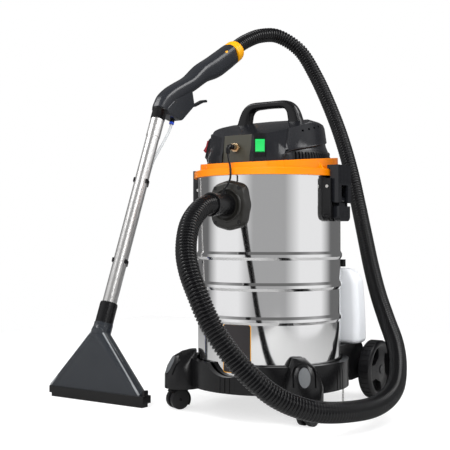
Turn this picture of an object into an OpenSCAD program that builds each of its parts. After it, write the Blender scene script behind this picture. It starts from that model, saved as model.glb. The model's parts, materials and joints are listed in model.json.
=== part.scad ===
// Spot extractor: a 30 litre steel tank on a wheeled base, a motor head with a
// solution pump, and a spray wand with a triangular nozzle on a ribbed hose.
// +Z is up, the inlet faces -Y, and the origin is on the floor under the tank's axis.

/* [Tank] */
// Outer radius of the steel tank
tank_r = 160; // [154:1:164]
// Thickness of the tank's sheet
tank_wall = 1.2; // [0.8:0.1:2]
// Height of the tank's floor
tank_floor_z = 76; // [72:1:80]
// Height of the tank's open top
tank_top_z = 520; // [510:1:530]
// How far each bead stands out
bead_out = 3.5; // [2:0.5:4]
// Height of each bead's band
bead_band = 18; // [12:1:22]
// Heights of the three beads
bead_heights = [210, 281, 346];

/* [Inlet and cuff] */
// Height of the inlet's axis
inlet_z = 453; // [440:1:460]
// Width of the inlet flange at the tank
flange_w = 92; // [84:1:100]
// Height of the inlet flange at the tank
flange_h = 104; // [96:1:112]
// How far the flange's face stands out of the tank
flange_out = 12; // [10:1:14]
// Outer diameter of the hose cuff
cuff_d = 48; // [47:0.5:50]
// Length of the cuff in front of the flange's ring
cuff_len = 56; // [50:1:60]

/* [Hose] */
// Outer diameter of the ribbed hose over its ribs
hose_d = 42; // [38:0.5:42]
// Bore of the hose
hose_bore = 31; // [28:0.5:33]
// Depth of the groove between two ribs
rib_depth = 2; // [1:0.25:2.5]
// Number of ribs
rib_count = 196; // [60:1:200]
// Diameter of the thin solution lead
lead_d = 4.4; // [3:0.2:5]

/* [Lid and head] */
// Reach of the orange lid's flange beyond the tank's wall
lid_out = 8.6; // [7:0.2:14]
// Height of the flange's lower edge
lid_low_z = 517; // [510:1:519]
// Height of the flange
lid_flange_h = 15; // [12:1:18]
// Width of the lid's upper ring round the motor cover
lid_ring_w = 13; // [11:0.5:14]
// Height of the upper ring's edge above the tank's axis
lid_edge_z = 556.8; // [550:0.2:562]
// Rise of that edge towards the back, in degrees
lid_edge_tilt = 4.9; // [0:0.1:6]
// Radius of the motor cover at the ring
cover_r = 142; // [138:0.5:142.5]
// Height of the motor cover's crown
cover_top_z = 648; // [646:1:660]
// Wall of the motor cover
cover_wall = 3; // [2:0.5:4]
// Distance of the front face from the axis, at its foot
front_y = 136; // [134:0.5:138]
// Half width of the middle of the front
front_half_w = 42; // [40:0.5:46]
// Backward lean of the front faces, in degrees
front_lean = 7.4; // [4:0.2:10]
// Turn of the side faces from the front, in degrees
side_face_turn = 33.7; // [28:0.5:38]
// Width of the control panel
panel_w = 70; // [64:1:74]
// Height of the control panel
panel_h = 60; // [52:1:62]

/* [Carry handle] */
// Length of the handle's foot to foot
handle_len = 162; // [154:1:176]
// Height of the handle's top
handle_top_z = 692; // [685:1:700]
// Thickness of the grip bar
handle_bar = 17; // [16.5:0.5:22]
// Depth of the handle, front to back
handle_depth = 28; // [24:1:34]
// Distance of the handle behind the tank's axis
handle_y = 5; // [3:1:12]

/* [Switches] */
// Width of a rocker
rocker_w = 20; // [16:0.5:22]
// Height of a rocker
rocker_h = 28.8; // [24:0.2:30]
// Height of both rockers' pivots
rocker_z = 580; // [574:1:584]

/* [Latches] */
// Width of a latch's hook plate
latch_w = 61; // [52:1:64]
// Height of a latch's lower end
latch_low_z = 420; // [414:1:428]
// Distance of a latch's outer face from the tank's wall
latch_out = 29.5; // [28:0.5:32]
// Diameter of a latch's pivot pin
latch_pin_d = 5; // [4:0.5:6]
// Height of a latch's pivot pin
latch_pin_z = 494; // [490:1:498]

/* [Base] */
// Outer radius of the base's ring
base_r = 178; // [174:1:180]
// Height of the ring's lower edge
base_low_z = 58; // [56:1:60]
// Height of the ring's upper edge
base_top_z = 117; // [112:1:122]
// Distance of the caster pods from the middle, side to side
pod_x = 154; // [150:1:158]
// Distance of the caster pods in front of the axis
pod_y = 118; // [112:1:124]
// How far each caster's stem stands outside its pod's centre
stem_out = 11; // [0:1:12]
// How far each caster's stem stands behind its pod's centre
stem_back = 13; // [0:1:14]
// Radius of a caster pod
pod_r = 41; // [38:0.5:44]
// Height of the pods' lower edge
pod_low_z = 50; // [49.6:0.2:52]

/* [Casters and wheels] */
// Radius of a caster's twin wheels
caster_wheel_r = 22; // [20:0.5:22]
// Width of each caster wheel
caster_wheel_w = 10; // [7:0.5:11]
// Distance of the wheels' axle from the swivel axis
caster_trail = 12; // [8:0.5:14]
// Diameter of a caster's stem
stem_d = 10; // [8:0.5:11]
// Diameter of a caster's axle
caster_axle_d = 6; // [5:0.5:8]
// Radius of the rear wheels
wheel_r = 69; // [66:0.5:70]
// Width of the rear wheels
wheel_w = 32; // [26:1:34]
// Gap between the deck's side and each rear wheel
wheel_gap = 10; // [6:1:14]
// Distance of the rear axle behind the tank's axis
axle_y = 260; // [256:1:266]
// Diameter of the rear axle
axle_d = 12; // [10:0.5:14]

/* [Solution bottle] */
// Width of the bottle
bottle_w = 276; // [240:2:280]
// Depth of the bottle
bottle_depth = 58; // [50:1:60]
// Height of the bottle's foot
bottle_low_z = 136; // [134:1:140]
// Height of the bottle's body
bottle_h = 176; // [160:1:178]
// Wall of the bottle
bottle_wall = 2.5; // [2:0.5:4]
// Radius of the filler cap
cap_r = 20; // [16:1:22]

/* [Wand and nozzle] */
// Distance of the wand's plane from the tank's axis
wand_x = 375; // [365:1:385]
// Backward lean of the wand tube, in degrees
wand_lean = 22; // [18:0.5:24]
// Outer diameter of the wand tube
wand_d = 34; // [33:0.5:34.5]
// Length of the wand tube
wand_len = 555; // [550:1:560]
// Wall of the wand tube
wand_wall = 1.5; // [1:0.1:2]
// Outer diameter of the clear spray tube
spray_d = 7; // [6:0.5:8]
// Width of the nozzle's lip
lip_w = 292; // [280:2:300]
// Width of the nozzle's clear body at the lip
sole_w = 276; // [250:2:278]
// How far that body stands to the left of the wand
sole_left = 9; // [0:1:10]
// Depth of the nozzle, front to back
nozzle_depth = 25; // [24:1:32]
// Height of the black lip
lip_h = 26; // [22:1:30]
// Height of the nozzle's neck
neck_z = 158; // [150:1:162]

/* [Pistol handle] */
// Width of the handle's two shells together
gun_w = 50; // [46:1:54]
// Angle of the grip from upright, in degrees
grip_lean = 59; // [58:0.5:60]
// Length of the amber collar
collar_len = 33; // [28:1:36]
// Radius of the amber collar
collar_r = 31; // [30:0.5:32]

/* [Fits] */
// Radial clearance of a turning or seated fit
fit_gap = 0.05; // [0.02:0.01:0.1]
// Gap between pieces that pass each other
run_gap = 0.3; // [0.2:0.05:0.5]

/* [Hidden] */
$fn = 64;
far = 400;
lid_r = tank_r + lid_out;
lid_ring_r = cover_r + lid_ring_w;
latch_x = tank_r + latch_out;
sides = [-1, 1];

// Route of the suction hose, from the cuff's seat to the collar's seat.
hose_route = [[0, -190, 453], [0, -232, 453], [3, -272, 442], [11, -318, 410],
  [28, -353, 364], [50, -373, 323], [76, -382, 280], [101, -381, 232], [131, -370, 183],
  [167, -344, 131], [204, -303, 87], [242, -243, 59], [274, -165, 48], [293, -67, 47],
  [282, 42, 62], [250, 138, 96], [207, 223, 137], [151, 301, 186], [99, 368, 241],
  [50, 432, 309], [5, 489, 389], [-40, 541, 480], [-85, 585, 580], [-134, 620, 682],
  [-185, 644, 779], [-236, 657, 870], [-282, 647, 946], [-329, 601, 987],
  [-357, 541, 982], [-371, 480, 956], [-375, 430, 927], [-375, 394, 905.4]];
// Route of the thin solution lead, from the elbow plug to the cuff's grommet.
lead_route = [[0, -167, 562], [3, -169, 551], [9, -172.5, 537], [12, -175, 522], [12, -177, 507],
  [7, -182, 493], [2, -184, 487], [2, -184, 481]];

// Plain shapes -----------------------------------------------------------------

module x_rod(r, x0, x1, y, z) translate([x0, y, z]) rotate([0, 90, 0]) cylinder(r = r, h = x1 - x0);
module y_rod(r, y0, y1, x, z) translate([x, y1, z]) rotate([90, 0, 0]) cylinder(r = r, h = y1 - y0);
module z_rod(r, z0, z1, x = 0, y = 0) translate([x, y, z0]) cylinder(r = r, h = z1 - z0);
module box(low, high) translate(low) cube(high - low);
module ring(r_out, r_in, h) difference() {
  cylinder(r = r_out, h = h);
  translate([0, 0, -1]) cylinder(r = r_in, h = h + 2);
}
// A ring between two heights.
module band(r_out, r_in, z0, z1) translate([0, 0, z0]) ring(r_out, r_in, z1 - z0);
// A wedge of the plan between two bearings, from the axis outwards.
module wedge(from, to, z0, z1, reach = far) translate([0, 0, z0]) linear_extrude(z1 - z0)
  polygon([[0, 0], for (k = [0:6]) let (t = from + (to - from) * k / 6) reach * [cos(t), sin(t)]]);
// A straight rod from p to q.
module rod(p, q, r) let (d = q - p, l = norm(d), tilt = acos(d.z / l), turn = atan2(d.y, d.x))
  translate(p) rotate([0, tilt, turn]) cylinder(r = r, h = l);

// Swept tubes ------------------------------------------------------------------

function unit(v) = v / norm(v);
function spline_at(p0, p1, p2, p3, t) = 0.5 * (2 * p1 + (p2 - p0) * t
  + (2 * p0 - 5 * p1 + 4 * p2 - p3) * t * t + (3 * p1 - p0 - 3 * p2 + p3) * t * t * t);
// A smooth line through the route's points, with n steps between two points.
function smooth_line(route, n) = let (m = len(route) - 1) [
  for (i = [0:m - 1], k = [0:n - 1]) spline_at(route[max(i - 1, 0)], route[i], route[i + 1],
    route[min(i + 2, m)], k / n), route[m]];
// Distance travelled to each point of a line.
function travel(line) = [for (i = 0, s = 0; i < len(line);
  s = s + (i + 1 < len(line) ? norm(line[i + 1] - line[i]) : 0), i = i + 1) s];
// Points at even distances along a line.
function even_points(line, count) = let (s = travel(line), total = s[len(s) - 1],
  table = [for (axis = [0:2]) [for (i = [0:len(line) - 1]) [s[i], line[i][axis]]]])
  [for (k = [0:count]) [for (axis = [0:2]) lookup(total * k / count, table[axis])]];
function directions(p) = let (m = len(p) - 1) [for (i = [0:m]) unit(p[min(i + 1, m)] - p[max(i - 1, 0)])];
// A side vector for each point, carried along without twist.
function carried(dirs, start) = [for (i = 0, u = start; i < len(dirs); i = i + 1,
  u = i < len(dirs) ? unit(u - (u * dirs[i]) * dirs[i]) : u) u];
function rings(p, radii, n, start) = let (d = directions(p), u = carried(d, start))
  [for (i = [0:len(p) - 1]) let (v = cross(d[i], u[i])) for (k = [0:n - 1])
    p[i] + radii[i] * (cos(360 * k / n) * u[i] + sin(360 * k / n) * v)];
function skin(first, count, n) = [for (i = [0:count - 2], k = [0:n - 1], half = [0, 1])
  let (a = first + i * n + k, b = first + i * n + (k + 1) % n)
  half == 0 ? [a, b, b + n] : [a, b + n, a + n]];
function flipped(faces) = [for (f = faces) [f[0], f[2], f[1]]];
// A hose with ribs outside and a plain bore.
module ribbed_hose(route, start, r_out, r_root, r_bore, ribs, n = 8) {
  line = smooth_line(route, 10);
  outer = even_points(line, 2 * ribs);
  inner = even_points(line, 60);
  outer_pts = rings(outer, [for (i = [0:2 * ribs]) i % 2 == 0 ? r_root : r_out], n, start);
  inner_pts = rings(inner, [for (i = [0:60]) r_bore], n, start);
  shift = len(outer_pts);
  last_o = shift - n;
  last_i = shift + len(inner_pts) - n;
  near_end = [for (k = [0:n - 1], half = [0, 1]) let (j = (k + 1) % n)
    half == 0 ? [k, shift + k, shift + j] : [k, shift + j, j]];
  far_end = [for (k = [0:n - 1], half = [0, 1]) let (j = (k + 1) % n)
    half == 0 ? [last_o + k, last_i + j, last_i + k] : [last_o + k, last_o + j, last_i + j]];
  polyhedron(points = concat(outer_pts, inner_pts), faces = concat(
    flipped(skin(0, 2 * ribs + 1, n)), skin(shift, 61, n), flipped(near_end), flipped(far_end)));
}
// A plain solid tube along a route.
module plain_cord(route, start, r, steps, n = 8) {
  line = smooth_line(route, steps);
  pts = rings(line, [for (p = line) r], n, start);
  m = len(line);
  polyhedron(points = pts, faces = concat(flipped(skin(0, m, n)),
    [[for (k = [0:n - 1]) k]], [[for (k = [n - 1:-1:0]) (m - 1) * n + k]]));
}

// Tank ---------------------------------------------------------------------------

lip_out = 2.5;
lip_fall = 4;
floor_bend = 10;
function bead(z, r) = [[r, z - bead_band / 2], [r + bead_out, z - 3], [r + bead_out, z + 3],
  [r, z + bead_band / 2]];
function tank_line(r, z_floor, bend) = concat([[0, z_floor], [r - bend, z_floor], [r, z_floor + bend]],
  [for (z = bead_heights) each bead(z, r)]);
function reversed(list) = [for (i = [len(list) - 1:-1:0]) list[i]];
inlet_hole_r = cuff_d / 2 + 3;

module tank_shell() color("silver") difference() {
  rotate_extrude($fn = 96) polygon(concat(tank_line(tank_r, tank_floor_z, floor_bend),
    [[tank_r, tank_top_z - lip_fall], [tank_r + lip_out, tank_top_z - lip_fall],
      [tank_r + lip_out, tank_top_z], [tank_r - tank_wall, tank_top_z]],
    reversed(tank_line(tank_r - tank_wall, tank_floor_z + tank_wall, floor_bend))));
  y_rod(inlet_hole_r, -tank_r - 20, -tank_r / 2, 0, inlet_z);
}

seal_h = 3;
lid_plate_z = tank_top_z + seal_h;
lid_plate_t = 4;
module lid_seal() color("dimgray") band(tank_r + lip_out - 0.5, tank_r - 5, tank_top_z, lid_plate_z);

// Inlet ------------------------------------------------------------------------

flange_face_y = -tank_r - flange_out + 1;
flange_foot_y = -tank_r + 3;
collar_ring_r = 35.5;
collar_ring_h = 5;
cuff_r = cuff_d / 2;
cuff_front_y = flange_face_y - collar_ring_h - cuff_len;
cuff_back_y = -tank_r + 10;
hose_seat_y = cuff_front_y + hose_d;
seat_gap = 0.9;
screw_r = 2;
screw_head_r = 3.8;
flange_screws = [for (i = sides, k = sides) [i * flange_w * 0.33, k * flange_h * 0.35]];

// Outline with a lobe at each corner and a bulge in the middle of each side.
module flange_outline() {
  square([flange_w * 0.85, flange_h * 0.9], center = true);
  circle(r = flange_w / 2);
  for (i = sides, k = sides) translate([i * flange_w * 0.355, k * flange_h * 0.375]) circle(r = 13, $fn = 32);
}
module inlet_flange() color("#2b2b28") difference() {
  union() {
    translate([0, flange_foot_y, inlet_z]) rotate([90, 0, 0])
      linear_extrude(flange_foot_y - flange_face_y, scale = 0.84, $fn = 32) flange_outline();
    translate([0, flange_foot_y + 12, inlet_z]) rotate([90, 0, 0]) linear_extrude(12) flange_outline();
    y_rod(collar_ring_r, flange_face_y - collar_ring_h, flange_face_y + 1, 0, inlet_z);
  }
  z_rod(tank_r, inlet_z - 100, inlet_z + 100, 0, 0, $fn = 96);
  y_rod(cuff_r + 0.1, -far, 0, 0, inlet_z);
  y_rod(inlet_hole_r - 0.1, flange_face_y + 4, 0, 0, inlet_z);
  y_rod(collar_ring_r - 4, flange_face_y - collar_ring_h - 1, flange_face_y - collar_ring_h + 2, 0, inlet_z);
  for (p = flange_screws) y_rod(screw_r + 0.1, flange_face_y - 20, -100, p.x, inlet_z + p.y);
  for (p = flange_screws) y_rod(screw_head_r + 0.2, -far, flange_face_y + 3, p.x, inlet_z + p.y);
}

deflector_in_y = -tank_r + 48;
module inlet_deflector() color("#3a3a3a") difference() {
  y_rod(inlet_hole_r - 0.2, flange_face_y + 4.2, deflector_in_y, 0, inlet_z);
  y_rod(cuff_r + 0.2, -far, deflector_in_y - 2, 0, inlet_z);
  box([-far, -tank_r + 12, inlet_z - 60], [far, deflector_in_y - 2, inlet_z - 8]);
}

module hose_cuff() color("#202024") difference() {
  union() {
    y_rod(cuff_r, cuff_front_y, cuff_back_y, 0, inlet_z);
    y_rod(cuff_r + 1, cuff_front_y, cuff_front_y + 4, 0, inlet_z);
    z_rod(5.5, inlet_z + cuff_r - 2, lead_route[7].z, lead_route[7].x, lead_route[7].y);
  }
  y_rod(hose_d / 2 + seat_gap, cuff_front_y - 1, hose_seat_y + 1, 0, inlet_z);
  y_rod(hose_bore / 2, cuff_front_y, cuff_back_y + 1, 0, inlet_z);
}

module suction_hose() color("#17171a") ribbed_hose(hose_route, [1, 0, 0], hose_d / 2,
  hose_d / 2 - rib_depth, hose_bore / 2, rib_count);

module solution_lead() color("#101012") plain_cord(lead_route, [1, 0, 0], lead_d / 2, 3);

// Quick coupling and plug --------------------------------------------------------

coupling_z = 577;
coupling_face_y = -150;
coupling_bore_r = 4.6;
elbow_r = 6;
elbow_y = lead_route[0].y;
plug_r = 4.5;
module quick_coupling() color("#c9a468") difference() {
  union() {
    y_rod(5.5, -134, -121, 0, coupling_z);
    translate([0, -133, coupling_z]) rotate([90, 0, 0]) cylinder(r = 10, h = 7, $fn = 6);
    y_rod(7, coupling_face_y, -139, 0, coupling_z);
  }
  y_rod(coupling_bore_r, coupling_face_y - 1, coupling_face_y + 10, 0, coupling_z);
}
module lead_plug() color("#151517") {
  y_rod(coupling_bore_r - 0.1, coupling_face_y - 1, coupling_face_y + 9, 0, coupling_z);
  y_rod(6, coupling_face_y - 8, coupling_face_y - 0.2, 0, coupling_z);
  y_rod(plug_r, elbow_y + elbow_r, coupling_face_y - 6, 0, coupling_z);
  translate([0, elbow_y + elbow_r, coupling_z - elbow_r]) rotate([0, 0, -90]) rotate([90, 0, 0])
    rotate_extrude(angle = 90) translate([elbow_r, 0]) circle(r = plug_r, $fn = 32);
  z_rod(plug_r, lead_route[0].z, coupling_z - elbow_r, 0, elbow_y);
}

// Lid ----------------------------------------------------------------------------

// Everything above the plane of the lid ring's edge.
module above_edge(lift = 0) translate([0, 0, lid_edge_z + lift]) rotate([lid_edge_tilt, 0, 0])
  translate([-far, -far, 0]) cube([2 * far, 2 * far, 200]);
lid_hole_r = 45;
lid_skirt_r = tank_r + lip_out + 1.1;
notch_turn = 53;
module lid_rim() color("darkorange") difference() {
  union() {
    difference() {
      rotate_extrude($fn = 96) polygon([[lid_hole_r, lid_plate_z], [lid_hole_r, lid_plate_z + lid_plate_t],
        [cover_r + run_gap, lid_plate_z + lid_plate_t], [cover_r + run_gap, 600], [lid_ring_r - 1.6, 600],
        [lid_ring_r, lid_low_z + lid_flange_h], [lid_r - 1.6, lid_low_z + lid_flange_h],
        [lid_r, lid_low_z + lid_flange_h - 1.6], [lid_r, lid_low_z], [lid_skirt_r, lid_low_z],
        [lid_skirt_r, lid_plate_z]]);
      for (i = sides) intersection() {
        rotate([0, 0, -90 + i * (90 - notch_turn)]) box([lid_ring_r - 3, -18, lid_low_z + lid_flange_h + 1],
          [lid_ring_r + 5, 18, 548]);
        band(far, lid_ring_r - 2.6, 500, 600);
      }
      difference() {
        band(lid_ring_r - 3.6, cover_r + 3.4, lid_plate_z - 1, 600);
        above_edge(-3);
      }
    }
    for (i = sides, k = sides) rotate([0, 0, i == 1 ? k * 14 : 180 + k * 14]) gusset();
  }
  above_edge();
  front_block(0.2);
  y_rod(port_r + port_wall + 2.2, 80, 200, 0, port_z);
  y_rod(gland_r + 3.2, 80, 200, gland_x, gland_z);
}
module gusset() translate([lid_ring_r - 1.5, 2, lid_low_z + lid_flange_h - 0.5]) rotate([90, 0, 0])
  linear_extrude(4) polygon([[0, 0], [11, 0], [0, 15]]);

// Motor cover --------------------------------------------------------------------

cover_low_z = lid_plate_z + lid_plate_t;
slope_deg = 18.3;
slope_z = 644;
swoosh_z = 588;
swoosh_tilt = 10.4;
swoosh_in = 3;
// Half section of the cover, drawn in by one wall at its sides and one at its top.
function cover_line(wall, roof) = [[0, cover_low_z - 1], [cover_r - wall, cover_low_z - 1],
  [cover_r - wall, 560], [cover_r - 12 - wall, 594], [cover_r - 17 - wall, 628],
  [cover_r - 20 - wall, 635], [cover_r - 26 - wall, cover_top_z - 9 - roof / 2],
  [cover_r - 44 - wall, cover_top_z - 3 - roof], [0, cover_top_z - roof]];
// The half space behind a leaning face, at a bearing from the front.
module behind(turn, dist, z_ref) rotate([0, 0, turn]) translate([0, -dist, z_ref])
  rotate([-front_lean, 0, 0]) translate([-far, 0, -far]) cube([2 * far, 2 * far, 2 * far]);
// A frame on the right side face: x along it, y inwards, z up it.
module side_face(lift = 0) translate([front_half_w, -front_y + (rocker_z - 543) * tan(front_lean), rocker_z])
  rotate([0, 0, side_face_turn]) rotate([-front_lean, 0, 0]) translate([0, -lift, 0]) children();
module under_slope(drop = 0) translate([0, 0, slope_z - drop]) rotate([slope_deg, 0, 0])
  translate([-far, -far, -2 * far]) cube([2 * far, 2 * far, 2 * far]);
pad_turn = 59;
pad_dist = cover_r - 5;
pad_lean = 12;
pad_z = 589;
// The same kind of frame on the left side's switch pad.
module pad_face() rotate([0, 0, -pad_turn]) translate([0, -pad_dist, pad_z]) rotate([-pad_lean, 0, 0]) children();
side_dist = (front_y - 4.8) * cos(side_face_turn) + front_half_w * sin(side_face_turn);

module pad_block(grow = 0) pad_face() box([-frame_w / 2 - 1.5 - grow, -grow, -frame_down - 1 - grow],
  [frame_w / 2 + 1.5 + grow, 30, frame_up + 2 + grow]);
module front_block(grow = 0) intersection() {
  box([-98, -front_y - 5, cover_low_z + 8 - grow], [98, -60, 640]);
  behind(0, front_y + grow, 543);
  behind(side_face_turn, side_dist + grow, rocker_z);
  behind(-side_face_turn, side_dist + grow, rocker_z);
}
module cover_outside() intersection() {
  union() {
    rotate_extrude($fn = 96) polygon(cover_line(0, 0));
    front_block();
    pad_block();
  }
  under_slope();
  union() {
    z_rod(cover_r, cover_low_z, cover_low_z + 9);
    translate([0, 0, cover_low_z + 8]) cylinder(r = far, h = 200);
  }
}
// The lower band at each side, set back below a rising line.
module swoosh_cut() difference() {
  rotate_extrude($fn = 96) polygon([[cover_r - swoosh_in, 520], [cover_r + 20, 520], [cover_r + 20, 620],
    [cover_r - 14 - swoosh_in, 594], [cover_r - swoosh_in, 560]]);
  translate([0, 0, swoosh_z]) rotate([swoosh_tilt, 0, 0]) translate([-far, -far, 0]) cube([2 * far, 2 * far, 200]);
  box([-99, -far, 500], [99, far, 700]);
  pad_block();
}
grille_low_z = 546;
grille_high_z = 572;
grille_turn = 38;
vent_turns = [for (k = [0:3]) [-24 + 8.2 * k, 614 + 4.4 * k]];

// The opening of one side's exhaust, as wide as the given turn each way.
module grille_window(side, turn, pad_gap) difference() {
  intersection() {
    band(cover_r + 5, cover_r - 16, grille_low_z, grille_high_z);
    wedge(90 - side * 90 - turn, 90 - side * 90 + turn, 500, 600);
  }
  pad_block(pad_gap);
}
module motor_cover() color("#242426") difference() {
  cover_outside();
  intersection() {
    rotate_extrude($fn = 96) polygon(cover_line(cover_wall + swoosh_in, cover_wall));
    under_slope(cover_wall);
  }
  swoosh_cut();
  panel_frame() box([-panel_w / 2 - 0.2, -20, -0.2], [panel_w / 2 + 0.2, 2, panel_h + 0.2]);
  y_rod(5.6, -150, -100, 0, coupling_z);
  for (i = sides) grille_window(i, grille_turn, 0);
  for (i = sides, v = vent_turns) mirror([i == 1 ? 0 : 1, 0, 0]) rotate([0, 0, v[0]])
    translate([cover_r - 17, 0, v[1]]) cube([30, 6, 4], center = true);
  side_face() switch_place(pump_at) switch_cutout();
  side_face() switch_place(pump_at) frame_seat();
  pad_face() switch_cutout();
  y_rod(port_r + port_wall + 0.1, 80, 200, 0, port_z);
  y_rod(gland_r, 80, 200, gland_x, gland_z);
}

// Panel, switches and grilles ------------------------------------------------------

panel_low_z = 545;
module panel_frame() translate([0, -front_y + (panel_low_z - 543) * tan(front_lean), panel_low_z])
  rotate([-front_lean, 0, 0]) children();
module control_panel() color("#4b4c42") difference() {
  panel_frame() box([-panel_w / 2, 0.5, 0], [panel_w / 2, 2, panel_h]);
  y_rod(5.6, -150, -100, 0, coupling_z);
}

frame_w = rocker_w + 5.6;
frame_up = 17.5;
frame_down = 26;
frame_out = 2;
cavity_depth = 17;
pump_at = 13;
pivot_in = 5;
power_out = 4;
rocker_r = rocker_h / 2;
module switch_place(along) translate([along, 0, 0]) children();
module switch_cutout() box([-frame_w / 2 + 1.8, -20, -frame_down + 1.8], [frame_w / 2 - 1.8, 30, frame_up - 1.8]);
module frame_seat() box([-frame_w / 2 - 0.1, -20, -frame_down - 0.1], [frame_w / 2 + 0.1, 0, frame_up + 0.1]);
module switch_frame() difference() {
  union() {
    box([-frame_w / 2, -frame_out, -frame_down], [frame_w / 2, -0.05, frame_up]);
    box([-frame_w / 2 + 2, -0.5, -frame_down + 2], [frame_w / 2 - 2, cavity_depth, frame_up - 2]);
  }
  box([-rocker_w / 2 - run_gap, -10, -rocker_r - run_gap - 0.2],
    [rocker_w / 2 + run_gap, cavity_depth - 2, rocker_r + run_gap + 0.2]);
}
module switch_frames() color("#111113") {
  side_face() switch_place(pump_at) switch_frame();
  pad_face() switch_frame();
}
// A rocker seen from its side: two flat faces that meet at the pivot.
module rocker() translate([-rocker_w / 2, 0, 0]) rotate([90, 0, 90]) linear_extrude(rocker_w) intersection() {
  translate([pivot_in, 0]) circle(r = rocker_r, $fn = 64);
  polygon([[-8, -20], [-1.5, 0], [-0.5, 20], [11, 20], [11, -20]]);
}
module power_switch() color("#8c1622") pad_face() translate([0, -power_out, 0]) rocker();
module pump_switch() color("#12c552") side_face() switch_place(pump_at) mirror([0, 0, 1]) rocker();

slat_count = 21;
module exhaust_grilles() color("#0e0e10") for (i = sides) difference() {
  intersection() {
    grille_window(i, grille_turn - 0.1, 0.1);
    rotate_extrude($fn = 96) polygon([[0, 500], [cover_r - swoosh_in - 0.4, 500],
      [cover_r - swoosh_in - 0.4, 560], [cover_r - 14 - swoosh_in, 594], [0, 594]]);
  }
  for (k = [0:slat_count - 1]) rotate([0, 0, 90 - i * 90 - grille_turn + (k + 1) * 2 * grille_turn / (slat_count + 1)])
    box([cover_r - 13, -1.7, grille_low_z + 4], [cover_r, 1.7, grille_high_z - 4]);
}

port_r = 18;
port_wall = 3;
port_z = 590;
port_out_y = lid_ring_r + 13;
port_in_y = cover_r - 30;
module blower_port() color("#1c1c1e") difference() {
  union() {
    y_rod(port_r + port_wall, port_in_y, port_out_y, 0, port_z);
    y_rod(port_r + port_wall + 2, port_out_y - 4, port_out_y, 0, port_z);
  }
  y_rod(port_r, port_in_y - 1, port_out_y + 1, 0, port_z);
}
gland_r = 8;
gland_x = 72;
gland_z = 578;
gland_seat_y = cover_r - 18;
module cord_gland() color("#141416") difference() {
  union() {
    y_rod(gland_r - fit_gap, gland_seat_y - 20, gland_seat_y, gland_x, gland_z);
    y_rod(gland_r + 3, gland_seat_y, gland_seat_y + 6, gland_x, gland_z);
    y_rod(gland_r - 1.5, gland_seat_y + 5, gland_seat_y + 22, gland_x, gland_z);
  }
  y_rod(3.8, gland_seat_y - 21, gland_seat_y + 26, gland_x, gland_z);
}

// Carry handle -------------------------------------------------------------------

handle_round = 8;
leg_w = 32;
module handle_outline(inset) {
  half = handle_len / 2;
  polygon([[-half + inset, 600], [-half + inset, 645], [-half + 20 + inset * 0.6, handle_top_z - 8 - inset * 0.7],
    [-half + 36 + inset * 0.4, handle_top_z - inset], [half - 36 - inset * 0.4, handle_top_z - inset],
    [half - 20 - inset * 0.6, handle_top_z - 8 - inset * 0.7], [half - inset, 645], [half - inset, 600],
    [half - leg_w + inset, 600], [half - leg_w + inset, handle_top_z - handle_bar - 7],
    [half - leg_w - 6, handle_top_z - handle_bar + inset], [-half + leg_w + 6, handle_top_z - handle_bar + inset],
    [-half + leg_w - inset, handle_top_z - handle_bar - 7], [-half + leg_w - inset, 600]]);
}
module carry_handle() color("#1d1d20") difference() {
  translate([0, handle_y, 0]) minkowski() {
    translate([0, handle_depth / 2 - handle_round, 0]) rotate([90, 0, 0])
      linear_extrude(handle_depth - 2 * handle_round) handle_outline(handle_round);
    sphere(r = handle_round, $fn = 16);
  }
  cover_outside();
  box([-far, -far, 500], [far, far, 630]);
}

// Motor, fan and pump --------------------------------------------------------------

fan_low_z = cover_low_z + 7;
fan_r = 55;
shaft_r = 4;
motor_top_z = 612;
module motor() color("gray") difference() {
  union() {
    z_rod(66, cover_low_z, cover_low_z + 39);
    z_rod(50, cover_low_z + 38, motor_top_z);
    z_rod(14, motor_top_z - 1, motor_top_z + 6);
  }
  z_rod(fan_r + 5, cover_low_z + 3, cover_low_z + 33);
  z_rod(28, cover_low_z - 1, cover_low_z + 4);
  z_rod(shaft_r + fit_gap, cover_low_z + 30, motor_top_z + 7);
  for (k = [0:5]) rotate([0, 0, 60 * k]) box([fan_r, -12, cover_low_z + 8], [fan_r + 20, 12, cover_low_z + 28]);
}
module fan() color("lightgray") {
  z_rod(fan_r, fan_low_z, fan_low_z + 2);
  z_rod(fan_r, fan_low_z + 18, fan_low_z + 20);
  for (k = [0:7]) rotate([0, 0, 45 * k]) box([14, -1, fan_low_z + 1], [fan_r - 1, 1, fan_low_z + 19]);
  z_rod(12, fan_low_z, fan_low_z + 22);
  z_rod(shaft_r, fan_low_z, motor_top_z + 4);
}
module solution_pump() color("#555a60") {
  box([-112, 6, cover_low_z], [-80, 50, cover_low_z + 34]);
  y_rod(14, -24, 6, -96, cover_low_z + 17);
}

// Float, cage and filter -------------------------------------------------------------

cage_low_z = 428;
cage_r = 30;
ball_r = 22;
ball_z = cage_low_z + 4 + ball_r + run_gap;
module float_cage() color("#2f3133") difference() {
  union() {
    z_rod(54, lid_plate_z - 4, lid_plate_z);
    z_rod(cage_r, cage_low_z, lid_plate_z - 3);
  }
  z_rod(cage_r - 4, cage_low_z + 4, 502);
  z_rod(17, 501, lid_plate_z + 1);
  for (k = [0:5]) rotate([0, 0, 60 * k]) box([10, -8, cage_low_z + 12], [cage_r + 5, 8, 494]);
  for (k = [0:5]) rotate([0, 0, 60 * k + 30]) z_rod(4, cage_low_z - 1, cage_low_z + 5, 16);
}
module float_ball() color("orange") translate([0, 0, ball_z]) sphere(r = ball_r);
module foam_filter() color("#3c3f42") band(cage_r + 12, cage_r + run_gap, cage_low_z + 4, lid_plate_z - 4 - run_gap);

// Latches --------------------------------------------------------------------------

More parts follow.
